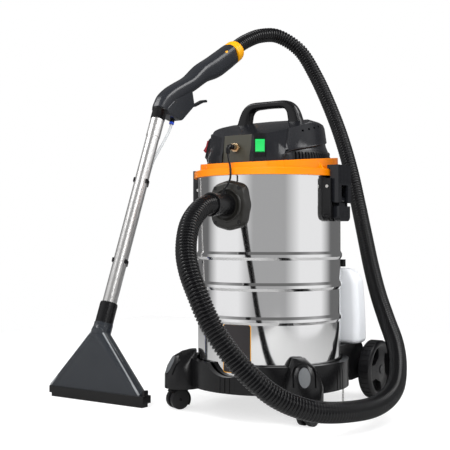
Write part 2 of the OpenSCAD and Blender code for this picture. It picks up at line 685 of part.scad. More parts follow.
latch_pin_x = tank_r + 8;
latch_pin_r = latch_pin_d / 2;
ear_half = latch_w / 2 + 9.5;
ear_t = 6;
link_x = tank_r + 17;
link_z = 467;
link_r = 2.5;
hook_t = 5.5;
cheek_t = 4.5;
hook_half = latch_w / 2;
hook_tip_z = lid_low_z + lid_flange_h + run_gap;
hook_top_z = 540;
pad_low_z = latch_low_z;
lever_half = hook_half - cheek_t - run_gap;

// The left side is the right side mirrored.
module on_side(side) mirror([side < 0 ? 1 : 0, 0, 0]) children();
module latch_bracket() difference() {
  union() {
    box([tank_r - 20, -ear_half, latch_low_z + 32], [tank_r + 4, ear_half, lid_low_z - 3]);
    for (i = sides) box([tank_r - 20, i * ear_half - ear_t / 2 - i * ear_t / 2, latch_low_z + 32],
      [tank_r + 16, i * ear_half + ear_t / 2 - i * ear_t / 2, lid_low_z - 6]);
    intersection() {
      box([tank_r - 20, -ear_half, latch_low_z], [tank_r + 17, ear_half, latch_low_z + 33]);
      union() {
        translate([0, 0, latch_low_z + 16]) box([tank_r - 20, -ear_half, 0], [tank_r + 17, ear_half, 20]);
        for (i = sides) x_rod(16, tank_r - 20, tank_r + 18, i * (ear_half - 16), latch_low_z + 16);
        box([tank_r - 20, -ear_half + 16, latch_low_z], [tank_r + 17, ear_half - 16, latch_low_z + 20]);
      }
    }
  }
  z_rod(tank_r + fit_gap, latch_low_z - 10, lid_low_z + 20, $fn = 96);
  box([latch_pin_x, -lever_half - 6, latch_low_z - 1], [latch_pin_x + 12, lever_half + 6, latch_low_z + 40]);
  y_rod(latch_pin_r + fit_gap, -ear_half - 1, ear_half + 1, latch_pin_x, latch_pin_z);
  y_rod(6 + run_gap, -arm_half - 1, arm_half + 1, latch_pin_x, latch_pin_z);
}
arm_half = 14;
module latch_lever() {
  difference() {
    union() {
      y_rod(6, -arm_half, arm_half, latch_pin_x, latch_pin_z);
      box([latch_pin_x + 1, -arm_half, link_z], [latch_pin_x + 6, arm_half, latch_pin_z]);
      box([latch_pin_x + 4, -arm_half, pad_low_z + 8], [latch_pin_x + 10, arm_half, link_z + 8]);
      box([latch_pin_x + 8, -arm_half, pad_low_z + 30], [latch_pin_x + 15, arm_half, link_z - 8]);
      translate([0, 0, pad_low_z]) latch_pad();
      y_rod(link_r + 3, -arm_half, arm_half, link_x, link_z);
      y_rod(link_r, -hook_half + 0.5, hook_half - 0.5, link_x, link_z);
    }
    y_rod(latch_pin_r + fit_gap, -50, 50, latch_pin_x, latch_pin_z);
  }
}
// The finger pull: a rounded block with fine ridges across it.
module latch_pad() difference() {
  intersection() {
    box([latch_x - 14.5, -lever_half, 0], [latch_x, lever_half, 32]);
    union() {
      box([latch_x - 20, -26, 12], [latch_x + 10, 26, 40]);
      for (i = sides) x_rod(12, latch_x - 20, latch_x + 10, i * 14, 12);
      box([latch_x - 20, -14, 0], [latch_x + 10, 14, 20]);
    }
  }
  for (k = [0:3]) box([latch_x - 0.8, -16, 5 + 5 * k], [latch_x + 1, 16, 6.5 + 5 * k]);
}
module latch_hook() difference() {
  union() {
    box([latch_x - hook_t, -hook_half, pad_low_z + 40], [latch_x, hook_half, hook_top_z]);
    box([tank_r + 3, -hook_half, hook_tip_z], [latch_x, hook_half, hook_top_z]);
    for (i = sides) difference() {
      translate([0, i * hook_half - (i > 0 ? cheek_t : 0), 0]) rotate([90, 0, 0]) mirror([0, 0, 1])
        linear_extrude(cheek_t) polygon([[latch_x - 1, hook_top_z - 1], [lid_r + 1.5, hook_top_z - 1],
          [lid_r + 1.5, 512], [latch_pin_x + 5, 500], [latch_pin_x + 4, link_z - 2],
          [link_x - 1, link_z - 7], [latch_x - 1, link_z - 8]]);
    }
  }
  y_rod(link_r + fit_gap, -50, 50, link_x, link_z);
  box([latch_x - 8, -arm_half - 1, 450], [latch_x + 1, arm_half + 1, 497]);
  for (k = [-4:4]) box([latch_x - 0.8, 6.6 * k - 0.9, 500], [latch_x + 1, 6.6 * k + 0.9, hook_top_z + 1]);
}
module latch_bracket_right() color("#1a1a1a") on_side(1) latch_bracket();
module latch_bracket_left() color("#1a1a1a") on_side(-1) latch_bracket();
module latch_lever_right() color("#2c2c30") on_side(1) latch_lever();
module latch_lever_left() color("#2c2c30") on_side(-1) latch_lever();
module latch_hook_right() color("#2c2c30") on_side(1) latch_hook();
module latch_hook_left() color("#2c2c30") on_side(-1) latch_hook();
module latch_pins() color("silver") for (i = sides) on_side(i) {
  y_rod(latch_pin_r, -ear_half - 1.5, ear_half + 1.5, latch_pin_x, latch_pin_z);
  for (k = sides) y_rod(latch_pin_r + 1.2, k * (ear_half + 1.1) - 0.9, k * (ear_half + 1.1) + 0.9,
    latch_pin_x, latch_pin_z);
}

// Base --------------------------------------------------------------------------

tray_t = 6;
ring_wall = 12;
rib_gap = 12;
dip_r = 70;
dip_z = 92;
pod_face_turn = 33;
inlay_half = [12, 19];
inlay_z = 102;
caster_x = pod_x + stem_out;
caster_y = pod_y - stem_back;
deck_half = 116;
wheel_in_x = deck_half + wheel_gap;
arm_t = 16;
axle_boss_r = 18;
pod_bore_top_z = 84;

module pod(inset) hull() {
  z_rod(pod_r - inset, pod_low_z, 80, pod_x, -pod_y, $fn = 40);
  z_rod(pod_r - 7 - inset, 99, 100, pod_x, -pod_y, $fn = 40);
  z_rod(pod_r - 18 - inset, 118, 119, pod_x, -pod_y, $fn = 32);
  z_rod(10 - inset / 2, 130 - inset, 131 - inset, pod_x - 6, -pod_y + 5, $fn = 24);
  z_rod(14 - inset, 100, 135 - inset, pod_x - 22, -pod_y + 17, $fn = 24);
}
// A frame on a pod: x across it, y outwards, z up, with the pod's centre at the origin.
module pod_frame() translate([pod_x, -pod_y, inlay_z]) rotate([0, 0, pod_face_turn - 180]) children();
module inlay_shape(grow, from, to) pod_frame() translate([0, to, 0]) rotate([90, 0, 0])
  linear_extrude(to - from) polygon([for (k = [0:31]) [(inlay_half.x + grow) * cos(k * 360 / 32),
    (inlay_half.y + grow) * sin(k * 360 / 32)]]);
module horseshoe() pod_frame() translate([0, 60, 0]) rotate([90, 0, 0]) linear_extrude(54) difference() {
  union() {
    translate([0, 4]) circle(r = 24);
    translate([-24, -20]) square([48, 24]);
  }
  translate([0, 4]) circle(r = 20.5);
  translate([-20.5, -21]) square([41, 25]);
}

module base_dolly() color("#1b1b1b") difference() {
  union() {
    band(base_r, tank_r + bead_out + 0.5, base_low_z, base_top_z, $fn = 96);
    z_rod(tank_r + bead_out + 2, tank_floor_z - tray_t, tank_floor_z - 0.02, $fn = 96);
    for (i = sides) on_side(i) difference() {
      pod(0);
      z_rod(tank_r + bead_out + 0.5, pod_low_z + 8, 200, $fn = 96);
    }
    rear_deck();
  }
  y_rod(dip_r, -far, -100, 0, dip_z + dip_r);
  for (turn = [-90, 0, 180], k = [-3:3]) rotate([0, 0, turn]) box([base_r - 1.6, k * rib_gap - 1.5, base_low_z - 1],
    [base_r + 5, k * rib_gap + 1.5, 102]);
  for (i = sides) on_side(i) {
    z_rod(stem_d / 2 + fit_gap, pod_low_z - 1, pod_bore_top_z, caster_x, -caster_y);
    difference() {
      union() {
        horseshoe();
        inlay_shape(0.3, 10, 70);
      }
      pod(3);
    }
  }
  x_rod(axle_d / 2 + fit_gap, -150, 150, axle_y, wheel_r);
  for (p = tray_screws) z_rod(screw_r + 0.1, 40, 100, p.x, p.y);
  z_rod(link_w / 2 + 0.3, base_low_z - 1, base_low_z + 8.4 + link_len / 2, chain_at.x, chain_at.y);
}
deck_z = bottle_low_z;
deck_back_y = 234;
module rear_deck() difference() {
  union() {
    box([-deck_half, 120, deck_z - 12], [deck_half, deck_back_y, deck_z]);
    for (i = sides) on_side(i) translate([deck_half, 0, 0]) rotate([90, 0, -90]) linear_extrude(arm_t)
      arm_outline();
    box([-deck_half, deck_back_y - 5, 96], [deck_half, deck_back_y, deck_z - 1]);
  }
  z_rod(tank_r + bead_out + 0.5, base_low_z + 8, 200, $fn = 96);
}
// The side arm in profile: y runs to the left.
module arm_outline() mirror([1, 0, 0]) union() {
  polygon([[120, base_low_z], [180, 50], [axle_y - 8, wheel_r - axle_boss_r + 2],
    [axle_y + 10, wheel_r + axle_boss_r - 4], [deck_back_y, deck_z], [120, deck_z]]);
  translate([axle_y, wheel_r]) circle(r = axle_boss_r);
}
module pod_inlays() color("#55575a") for (i = sides) on_side(i) intersection() {
  difference() {
    pod(-0.6);
    pod(2.9);
  }
  inlay_shape(0, 10, 70);
}

tray_screws = [for (t = [45, 135, 225, 315]) 120 * [cos(t), sin(t)]];
module pan_screws() color("silver") {
  for (p = flange_screws) {
    y_rod(screw_r, flange_face_y + 2.9, -tank_r - run_gap, p.x, inlet_z + p.y);
    y_rod(screw_head_r, flange_face_y - 0.6, flange_face_y + 3, p.x, inlet_z + p.y);
  }
  for (p = tray_screws) {
    z_rod(screw_r, tank_floor_z - tray_t - 2, tank_floor_z - 1, p.x, p.y);
    z_rod(screw_head_r, tank_floor_z - tray_t - 2.6, tank_floor_z - tray_t, p.x, p.y);
  }
  for (p = gun_screws) x_rod(screw_head_r - 0.6, -wand_x + gun_w / 2 - 9, -wand_x + gun_w / 2 - 4, p.x, p.y);
}

// Chain of round-ended links that hangs under the ring and trails on the floor.
link_len = 9;
link_w = 5.4;
wire_r = 0.7;
module chain_link() {
  for (i = sides) {
    translate([i * (link_w / 2 - wire_r), 0, -link_len / 2 + link_w / 2]) cylinder(r = wire_r, h = link_len - link_w, $fn = 16);
    translate([0, 0, i * (link_len - link_w) / 2]) rotate([90, 0, 0]) rotate([0, 0, i > 0 ? 0 : 180])
      rotate_extrude(angle = 180, $fn = 24) translate([link_w / 2 - wire_r, 0]) circle(r = wire_r, $fn = 16);
  }
}
chain_at = [129, 111];
chain_step = link_len - 4 * wire_r - 0.1;
module drag_chain() color("silver") {
  for (k = [0:10]) translate([chain_at.x, chain_at.y, base_low_z + 8.4 - k * chain_step])
    rotate([0, 0, 60 + 90 * (k % 2)]) chain_link();
  for (k = [0:2]) translate([chain_at.x - 7 - k * chain_step, chain_at.y - 1, 2.8]) rotate([0, 90, 0])
    rotate([0, 0, k % 2 == 0 ? 0 : 80]) chain_link();
}

// Casters ----------------------------------------------------------------------

wheel_gap_half = 5;
hood_half = wheel_gap_half + caster_wheel_w + 1.5;
hood_r = caster_wheel_r + 3.2;
// Frame at a swivel axis: x is the trail, y the wheels' axle.
module caster_frame(side, turn) translate([side * caster_x, -caster_y, 0]) rotate([0, 0, turn]) children();
module caster_housing() difference() {
  union() {
    z_rod(stem_d / 2, pod_low_z - 4, pod_bore_top_z - 2);
    z_rod(13, hood_r + caster_wheel_r - 8, pod_low_z - run_gap);
    intersection() {
      y_rod(hood_r, -hood_half, hood_half, caster_trail, caster_wheel_r);
      union() {
        box([caster_trail - 30, -hood_half, 9], [caster_trail - 4, hood_half, 60]);
        box([caster_trail - 30, -hood_half, caster_wheel_r + 16], [caster_trail + 17, hood_half, 60]);
      }
    }
    y_rod(caster_wheel_r - 4, -wheel_gap_half + 0.6, wheel_gap_half - 0.6, caster_trail, caster_wheel_r);
    box([caster_trail - 14, -wheel_gap_half + 0.6, caster_wheel_r], [caster_trail + 9, wheel_gap_half - 0.6, 45]);
    y_rod(caster_axle_d / 2, -hood_half, hood_half, caster_trail, caster_wheel_r);
  }
  for (i = sides) difference() {
    y_rod(caster_wheel_r + 0.7, i * (hood_half + wheel_gap_half) / 2 - (hood_half - wheel_gap_half) / 2 - (i < 0 ? 1 : 0),
      i * (hood_half + wheel_gap_half) / 2 + (hood_half - wheel_gap_half) / 2 + (i > 0 ? 1 : 0),
      caster_trail, caster_wheel_r);
    y_rod(caster_axle_d / 2, -far, far, caster_trail, caster_wheel_r);
  }
}
module caster_wheels() for (i = sides) difference() {
  y_rod(caster_wheel_r, i * (wheel_gap_half + 0.6 + caster_wheel_w / 2) - caster_wheel_w / 2,
    i * (wheel_gap_half + 0.6 + caster_wheel_w / 2) + caster_wheel_w / 2, caster_trail, caster_wheel_r);
  y_rod(caster_axle_d / 2 + fit_gap, -far, far, caster_trail, caster_wheel_r);
}
turn_left = 244;
turn_right = -94;
module caster_housing_left() color("#141414") caster_frame(-1, turn_left) caster_housing();
module caster_housing_right() color("#141414") caster_frame(1, turn_right) caster_housing();
module caster_wheels_left() color("#0c0c0c") caster_frame(-1, turn_left) caster_wheels();
module caster_wheels_right() color("#0c0c0c") caster_frame(1, turn_right) caster_wheels();

// Rear wheels --------------------------------------------------------------------

tread_grooves = 32;
wheel_out_x = wheel_in_x + wheel_w;
cap_t = 4;
module rear_wheel() difference() {
  union() {
    translate([wheel_in_x, axle_y, wheel_r]) rotate([0, 90, 0]) rotate_extrude($fn = 96) polygon([[0, 0],
      [wheel_r - 3, 0], [wheel_r, 3], [wheel_r, wheel_w - 5], [wheel_r - 4, wheel_w - 1],
      [wheel_r - 8, wheel_w], [wheel_r - 12, wheel_w - 1], [wheel_r - 20, wheel_w - 8],
      [26, wheel_w - 5], [16, wheel_w - 2], [0, wheel_w - 2]]);
  }
  for (k = [0:tread_grooves - 1]) translate([0, axle_y, wheel_r]) rotate([k * 360 / tread_grooves, 0, 0])
    box([wheel_in_x - 1, -1, wheel_r - 1.2], [wheel_out_x - 6.4, 1, wheel_r + 5]);
  for (k = [0:2]) translate([0, axle_y, wheel_r]) rotate([k * 120 + 9, 0, 0]) wheel_pocket();
  x_rod(axle_d / 2 + fit_gap, 0, 300, axle_y, wheel_r);
  x_rod(11, wheel_out_x - cap_t - 2, 300, axle_y, wheel_r);
}
// A recess in the wheel's face, wider along the rim, with its corners drawn in.
pocket_r = [28, 53];
pocket_turn = 30;
function polar(r, t) = r * [cos(t), sin(t)];
module wheel_pocket() translate([wheel_out_x - 20, 0, 0]) rotate([90, 0, 90]) linear_extrude(40)
  polygon(concat([for (t = [-pocket_turn:6:pocket_turn]) polar(pocket_r[1], t)],
    [polar(pocket_r[1] - 3, pocket_turn + 4), polar(pocket_r[1] - 9, pocket_turn + 5), polar(pocket_r[0] + 4, pocket_turn - 1)],
    [for (t = [18:-6:-18]) polar(pocket_r[0], t)],
    [polar(pocket_r[0] + 4, 1 - pocket_turn), polar(pocket_r[1] - 9, -pocket_turn - 5), polar(pocket_r[1] - 3, -pocket_turn - 4)]));
module rear_wheel_right() color("#1e1e22") on_side(1) rear_wheel();
module rear_wheel_left() color("#1e1e22") on_side(-1) rear_wheel();
module rear_axle() color("silver") x_rod(axle_d / 2, -wheel_out_x + 4, wheel_out_x - 4, axle_y, wheel_r);
module axle_caps() color("#2a2a2e") for (i = sides) on_side(i) difference() {
  x_rod(10, wheel_out_x - cap_t - 1.7, wheel_out_x, axle_y, wheel_r);
  x_rod(axle_d / 2 + fit_gap, wheel_out_x - 10, wheel_out_x - 3.9, axle_y, wheel_r);
}

// Solution bottle ------------------------------------------------------------------

bottle_y = tank_r + 7 + bottle_depth / 2;
corner_r = 16;
module bottle_body(inset) hull() {
  for (i = sides, k = sides) {
    translate([i * (bottle_w / 2 - corner_r), bottle_y + k * (bottle_depth / 2 - corner_r), bottle_low_z + corner_r])
      sphere(r = corner_r - inset, $fn = 16);
    translate([i * (bottle_w / 2 - corner_r - 6), bottle_y + k * (bottle_depth / 2 - corner_r - 3),
      bottle_low_z + bottle_h - corner_r - 4]) sphere(r = corner_r - inset, $fn = 16);
    translate([i * (bottle_w / 2 - corner_r - 22), bottle_y + k * (bottle_depth / 2 - corner_r - 6),
      bottle_low_z + bottle_h - corner_r]) sphere(r = corner_r - inset, $fn = 16);
  }
}
bottle_top_z = bottle_low_z + bottle_h;
neck_r = cap_r - 3;
cap_y = bottle_y + 4;
module solution_bottle() color("#e8ecee") difference() {
  union() {
    bottle_body(0);
    z_rod(neck_r, bottle_top_z - 4, bottle_top_z + 12, 0, cap_y);
  }
  bottle_body(bottle_wall);
  z_rod(neck_r - 3, bottle_top_z - 10, bottle_top_z + 13, 0, cap_y);
}
module filler_cap() color("#1b1b1d") difference() {
  z_rod(cap_r, bottle_top_z + run_gap, bottle_top_z + 15, 0, cap_y);
  z_rod(neck_r + fit_gap, bottle_top_z - 1, bottle_top_z + 12 + run_gap, 0, cap_y);
  for (k = [0:11]) rotate_about(k * 30) box([cap_r - 1, -1.5, bottle_top_z - 1], [cap_r + 5, 1.5, bottle_top_z + 20]);
}
module rotate_about(turn) translate([0, cap_y, 0]) rotate([0, 0, turn]) children();
bar_half = 104;
bar_z = bottle_top_z + 4;
module bottle_bracket() color("#161618") difference() {
  union() {
    box([-bar_half, tank_r + 10, bar_z], [bar_half, tank_r + 16, bar_z + 17]);
    box([-26, tank_r - 10, bar_z], [26, tank_r + 11, bar_z + 17]);
    for (i = sides) on_side(i) box([bar_half - 6, tank_r + 4, bar_z], [bar_half, tank_r + 12, bar_z + 17]);
  }
  z_rod(tank_r + fit_gap, 300, 340, $fn = 96);
  rotate_extrude($fn = 96) translate([tank_r - 5, 0]) polygon([for (p = bead(bead_heights[2], 5 + fit_gap)) p]);
}

// Wand ---------------------------------------------------------------------------

wand_foot = [-wand_x, -136, 175];
wand_r = wand_d / 2;
cuff_s = [6, 57];
wand_s = [20, 20 + wand_len];
spray_r = spray_d / 2;
spray_off = wand_r + spray_r + 1;
valve_off = 56;
valve_s = 570;
clip_at = [163, 376];
// The wand's own frame: z runs up its tube, y to its back.
module wand_frame() translate(wand_foot) rotate([-wand_lean, 0, 0]) children();
function on_wand(off, s) = wand_foot + [0, off * cos(wand_lean) + s * sin(wand_lean),
  s * cos(wand_lean) - off * sin(wand_lean)];
module wand_tube() color("#c9cbcd") wand_frame() difference() {
  union() {
    z_rod(wand_r, wand_s[0], wand_s[1]);
    z_rod(wand_r + 1, 500, 546.9);
  }
  z_rod(wand_r - wand_wall, wand_s[0] - 1, wand_s[1] + 1);
}
module nozzle_cuff() color("#121214") wand_frame() difference() {
  union() {
    z_rod(21.3, cuff_s[0], cuff_s[1] - 3);
    z_rod(20.4, cuff_s[1] - 4, cuff_s[1]);
  }
  z_rod(wand_r + fit_gap, wand_s[0], cuff_s[1] + 1);
  z_rod(15, cuff_s[0] - 1, wand_s[0] + 1);
  z_rod(spray_r + 0.2, cuff_s[0] - 1, cuff_s[1] + 1, 0, spray_off);
  z_rod(6 + fit_gap, cuff_s[0] - 1, spray_low_s + 0.1, 0, spray_off + 2);
}
module wand_clips() color("#0f0f11") wand_frame() for (s = clip_at) difference() {
  union() {
    z_rod(wand_r + 3, s - 4.5, s + 4.5);
    z_rod(spray_r + 2.5, s - 4.5, s + 4.5, 0, spray_off);
  }
  z_rod(wand_r + fit_gap, s - 10, s + 10);
  z_rod(spray_r + fit_gap, s - 10, s + 10, 0, spray_off);
}
valve_r = 6;
spray_low_s = 16;
spray_bend_s = 430;
spray_line = [for (p = [[spray_off, spray_low_s], [spray_off, clip_at[0]], [spray_off, clip_at[1] - 20],
  [spray_off, clip_at[1] + 20], [spray_off + 1, spray_bend_s], [spray_off + 7, spray_bend_s + 30],
  [valve_off - 8, valve_s - 50],
  [valve_off, valve_s - 16], [valve_off, valve_s - 4]]) on_wand(p[0], p[1])];
module spray_tube() color("#cfd6da") plain_cord(spray_line, [1, 0, 0], spray_r, 3, 10);
module spray_valve() wand_frame() {
  color("#1a4fd0") z_rod(6.5, valve_s - 4, valve_s + 3, 0, valve_off);
  color("#b08d4a") z_rod(5, valve_s + 3, valve_s + 5, 0, valve_off);
  color("#202022") z_rod(valve_r, valve_s + 5, valve_s + 40, 0, valve_off);
}

// Nozzle -------------------------------------------------------------------------

nozzle_y = -148;
lip_x = [-lip_w / 2 - 4, lip_w / 2 - 4];
nozzle_wall = 2.5;
module funnel(inset) hull() {
  box([-sole_w / 2 - sole_left + inset, -nozzle_depth / 2 + inset, lip_h - 3 - abs(inset)],
    [sole_w / 2 - sole_left - inset, nozzle_depth / 2 - inset, lip_h + 4 - inset]);
  z_rod(22.5 - inset, neck_z, neck_z + 3, $fn = 40);
}
module at_nozzle() translate([-wand_x, nozzle_y, 0]) children();
module nozzle_body() color("#5d6165", 0.6) difference() {
  union() {
    at_nozzle() funnel(0);
    wand_frame() z_rod(22.5, -22, cuff_s[0] - 0.1);
    translate([-wand_x, 0, 0]) at_neck() sphere(r = 22.5);
  }
  at_nozzle() funnel(nozzle_wall);
  translate([-wand_x, 0, 0]) at_neck() sphere(r = 22.5 - nozzle_wall);
  wand_frame() z_rod(15, -22, 10);
  wand_frame() z_rod(6 + fit_gap, 1.9, 10, 0, spray_off + 2);
  wand_frame() z_rod(4 + fit_gap, -14.1, 2.5, 0, spray_off + 3.6);
  at_nozzle() box([-far, -far, -10], [far, far, lip_h - 3]);
}
module at_neck() translate([0, nozzle_y + 3, neck_z + 4]) children();
module nozzle_lip() color("#0f0f10") at_nozzle() difference() {
  union() {
    box([lip_x[0], -nozzle_depth / 2 - 2, 9], [lip_x[1], nozzle_depth / 2 + 2, lip_h]);
    box([lip_x[0] + 6, -nozzle_depth / 2, 0], [lip_x[1] - 4, nozzle_depth / 2 - 4, 10]);
    box([lip_x[1] - 8, -8, lip_h - 2], [lip_x[1] - 1, 6, lip_h + 12]);
  }
  box([lip_x[0] + 12, -5, -1], [lip_x[1] - 12, 3, 12]);
  box([lip_x[0] + 8, -nozzle_depth / 2 + 3, 9.9], [sole_w / 2 - sole_left - 4, nozzle_depth / 2 - 3, lip_h + 1]);
  funnel(-0.1);
}
module spray_jet() {
  wand_frame() color("#1a4fd0") z_rod(6, 2, spray_low_s, 0, spray_off + 2);
  color("#30363c") wand_frame() z_rod(4, -14, 2.5, 0, spray_off + 3.6);
  color("#30363c") rod([-wand_x, -116, 153], [-wand_x, -130.5, 48], 3.4);
  color("#101012") z_rod(5, 30, 49, -wand_x, -128.5);
}

// Pistol handle --------------------------------------------------------------------

collar_mouth = hose_route[30];
collar_drop = 5;
module grip_frame() translate([-wand_x, collar_mouth.y, collar_mouth.z]) rotate([-grip_lean, 0, 0]) children();
function on_grip(off, s) = [collar_mouth.y + off * cos(grip_lean) + s * sin(grip_lean),
  collar_mouth.z + s * cos(grip_lean) - off * sin(grip_lean)];
function on_stem(off, s) = [on_wand(off, s).y, on_wand(off, s).z];
ring_s = 578;
stem_s = 548;
stem_r = 18.5;
// Middle line of the handle, with its radius: the bend, the neck and the grip.
bend_at = on_stem(13, 612);
neck_at = on_grip(-6, -310);
// Each of its points also holds how much narrower than the handle it is.
grip_points = [concat(on_stem(0, ring_s + 2), 19.5, 12), concat(bend_at, 22, 8), concat(neck_at, 22, 2),
  concat(on_grip(-2, -256), 21, 0), concat(on_grip(-4, -194), 26, 0), concat(on_grip(3, -134), 31, 0),
  concat(on_grip(4.5, -56), 31, 0), concat(on_grip(4.5, 0), 30, 0)];
gun_screws = [[118, 735], [143, 710], [318, 834]];

// A round block across the handle, with its rims drawn in.
module puck(p, r, slim = 0) translate([-wand_x, p.x, p.y]) rotate([0, 90, 0]) {
  cylinder(r = r, h = gun_w - 22 - slim, center = true, $fn = 24);
  cylinder(r = r - 2.5, h = gun_w - 10 - slim, center = true, $fn = 24);
  cylinder(r = r - 9, h = gun_w - slim, center = true, $fn = 24);
}
module grip_puck(k) puck(grip_points[k], grip_points[k][2], grip_points[k][3]);
module gun_solid() {
  difference() {
    union() {
      for (k = [0:5]) hull() {
        grip_puck(k);
        grip_puck(k + 1);
        if (k == 5) grip_puck(7);
      }
      hull() {
        puck([98, 711], 13, 6);
        puck([144, 705], 16);
        puck([188, 739], 15);
        puck([178, 766], 18);
      }
    }
    wand_frame() box([-far, -60, 400], [far, 8, ring_s]);
  }
  wand_frame() z_rod(stem_r, stem_s, ring_s + 8);
}
trigger_pivot = [184, 735];
module gun_hollow() {
  wand_frame() z_rod(wand_r + fit_gap, 500, wand_s[1] + 0.1);
  wand_frame() z_rod(wand_r - wand_wall, 500, 612);
  translate([-wand_x, bend_at.x, bend_at.y]) sphere(r = wand_r - 1);
  rod(concat(-wand_x, bend_at), concat(-wand_x, neck_at), wand_r - wand_wall);
  translate(concat(-wand_x, neck_at)) sphere(r = wand_r - 1);
  rod(concat(-wand_x, neck_at), concat(-wand_x, on_grip(0, -194)), wand_r - wand_wall);
  grip_frame() z_rod(wand_r - wand_wall, -200, 10);
  grip_frame() z_rod(hose_d / 2 + seat_gap, -hose_d - 1, 20);
  grip_frame() box([-far, -far, -collar_len], [far, far, 100]);
  wand_frame() z_rod(valve_r + 0.1, valve_s - 10, valve_s + 40.1, 0, valve_off);
  trigger_room();
  x_rod(pin_r + fit_gap, -wand_x - 17, -wand_x + 17, trigger_pivot.x, trigger_pivot.y);
  for (p = gun_screws) x_rod(screw_head_r, -wand_x + gun_w / 2 - 9, far, p.x, p.y);
}
pin_r = 2.5;
trigger_half = 6;
module trigger_room() translate([-wand_x - trigger_half - run_gap, 0, 0]) rotate([90, 0, 90])
  linear_extrude(2 * (trigger_half + run_gap)) {
    translate(trigger_pivot) circle(r = 9);
    polygon([[184, 726], [168, 724], [160, 740], [178, 744], [260, 775], [280, 740], [236, 722]]);
  }
module handle_shell(side) difference() {
  intersection() {
    gun_solid();
    translate([-wand_x + side * far / 2, 0, 700]) cube([far, 2000, 2000], center = true);
  }
  gun_hollow();
}
module handle_shell_right() color("#3a3d44") handle_shell(1);
module handle_shell_left() color("#3a3d44") handle_shell(-1);
module hose_collar() color("#f0ae14") grip_frame() difference() {
  translate([0, collar_drop, 0]) rotate_extrude() polygon([[0, -collar_len], [collar_r - 0.5, -collar_len],
    [collar_r, -collar_len + 8], [collar_r - 0.5, -8], [collar_r - 2, -2.5], [collar_r - 5, 0], [0, 0]]);
  z_rod(hose_d / 2 + run_gap, -collar_len - 1, 1);
}
// The lever curves from its pivot to a rounded tip.
module trigger() color("#4a4d54") difference() {
  union() {
    x_rod(8.5, -wand_x - trigger_half, -wand_x + trigger_half, trigger_pivot.x, trigger_pivot.y);
    translate([-wand_x - trigger_half, 0, 0]) rotate([90, 0, 90]) linear_extrude(2 * trigger_half)
      polygon([[168, 739], [184, 743], [228, 742.5], [248, 751.5], [263, 758], [278, 760.5], [282, 759.5],
        [283.5, 757], [282, 754], [278, 753], [266, 751], [250, 744.5], [229, 735.5], [184, 727], [170, 729]]);
  }
  x_rod(pin_r + fit_gap, -wand_x - 20, -wand_x + 20, trigger_pivot.x, trigger_pivot.y);
}
module trigger_pin() color("silver") x_rod(pin_r, -wand_x - 16.5, -wand_x + 16.5, trigger_pivot.x, trigger_pivot.y);

// Assembly -----------------------------------------------------------------------

tank_shell();
lid_seal();
inlet_flange();
inlet_deflector();
hose_cuff();
suction_hose();
solution_lead();
lead_plug();
quick_coupling();
lid_rim();
motor_cover();
control_panel();
carry_handle();
switch_frames();
power_switch();
pump_switch();
exhaust_grilles();
blower_port();
cord_gland();
motor();
fan();
solution_pump();
float_cage();
float_ball();
foam_filter();
latch_bracket_left();
latch_bracket_right();
latch_lever_left();
latch_lever_right();
latch_hook_left();
latch_hook_right();
latch_pins();
base_dolly();
pod_inlays();
pan_screws();
drag_chain();
caster_housing_left();
caster_housing_right();
caster_wheels_left();
caster_wheels_right();
rear_axle();
rear_wheel_left();
rear_wheel_right();
axle_caps();
solution_bottle();
filler_cap();
bottle_bracket();
hose_collar();
handle_shell_left();
handle_shell_right();
trigger();
trigger_pin();
spray_valve();
wand_tube();
wand_clips();
spray_tube();
nozzle_cuff();
nozzle_body();
nozzle_lip();
spray_jet();
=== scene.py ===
"""A spot extractor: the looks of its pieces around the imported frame. Metres, +Z up."""

import json
import math

import bpy
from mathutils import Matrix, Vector


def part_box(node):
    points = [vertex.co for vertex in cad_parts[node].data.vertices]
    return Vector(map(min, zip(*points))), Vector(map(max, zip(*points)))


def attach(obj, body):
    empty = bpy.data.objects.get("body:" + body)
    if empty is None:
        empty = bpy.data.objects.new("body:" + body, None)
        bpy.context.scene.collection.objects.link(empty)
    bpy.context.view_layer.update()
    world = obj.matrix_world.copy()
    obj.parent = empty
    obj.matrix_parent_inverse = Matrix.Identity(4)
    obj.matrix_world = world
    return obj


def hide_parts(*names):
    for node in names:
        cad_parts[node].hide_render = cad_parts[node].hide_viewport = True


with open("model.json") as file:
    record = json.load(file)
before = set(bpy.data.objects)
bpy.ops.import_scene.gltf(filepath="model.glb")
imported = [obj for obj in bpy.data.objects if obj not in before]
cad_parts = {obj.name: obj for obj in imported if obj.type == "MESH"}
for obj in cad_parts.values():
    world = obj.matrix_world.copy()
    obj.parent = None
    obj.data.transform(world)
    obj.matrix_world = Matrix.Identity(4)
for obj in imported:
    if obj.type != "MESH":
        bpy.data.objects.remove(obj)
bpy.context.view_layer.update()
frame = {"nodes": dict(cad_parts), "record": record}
MM = 0.001
AXIS_X, AXIS_Y, AXIS_Z = Vector((1, 0, 0)), Vector((0, 1, 0)), Vector((0, 0, 1))
IMAGE_PX = 450

# Camera: where it stands, and how far it looks aside and down.
CAMERA_AZIMUTH = 31.225
CAMERA_DISTANCE = 2.0599
CAMERA_HEIGHT = 0.39164
CAMERA_ASIDE = 2.766
CAMERA_DOWN = -0.591
FOCAL_PX = 911.64
SENSOR_MM = 36.0


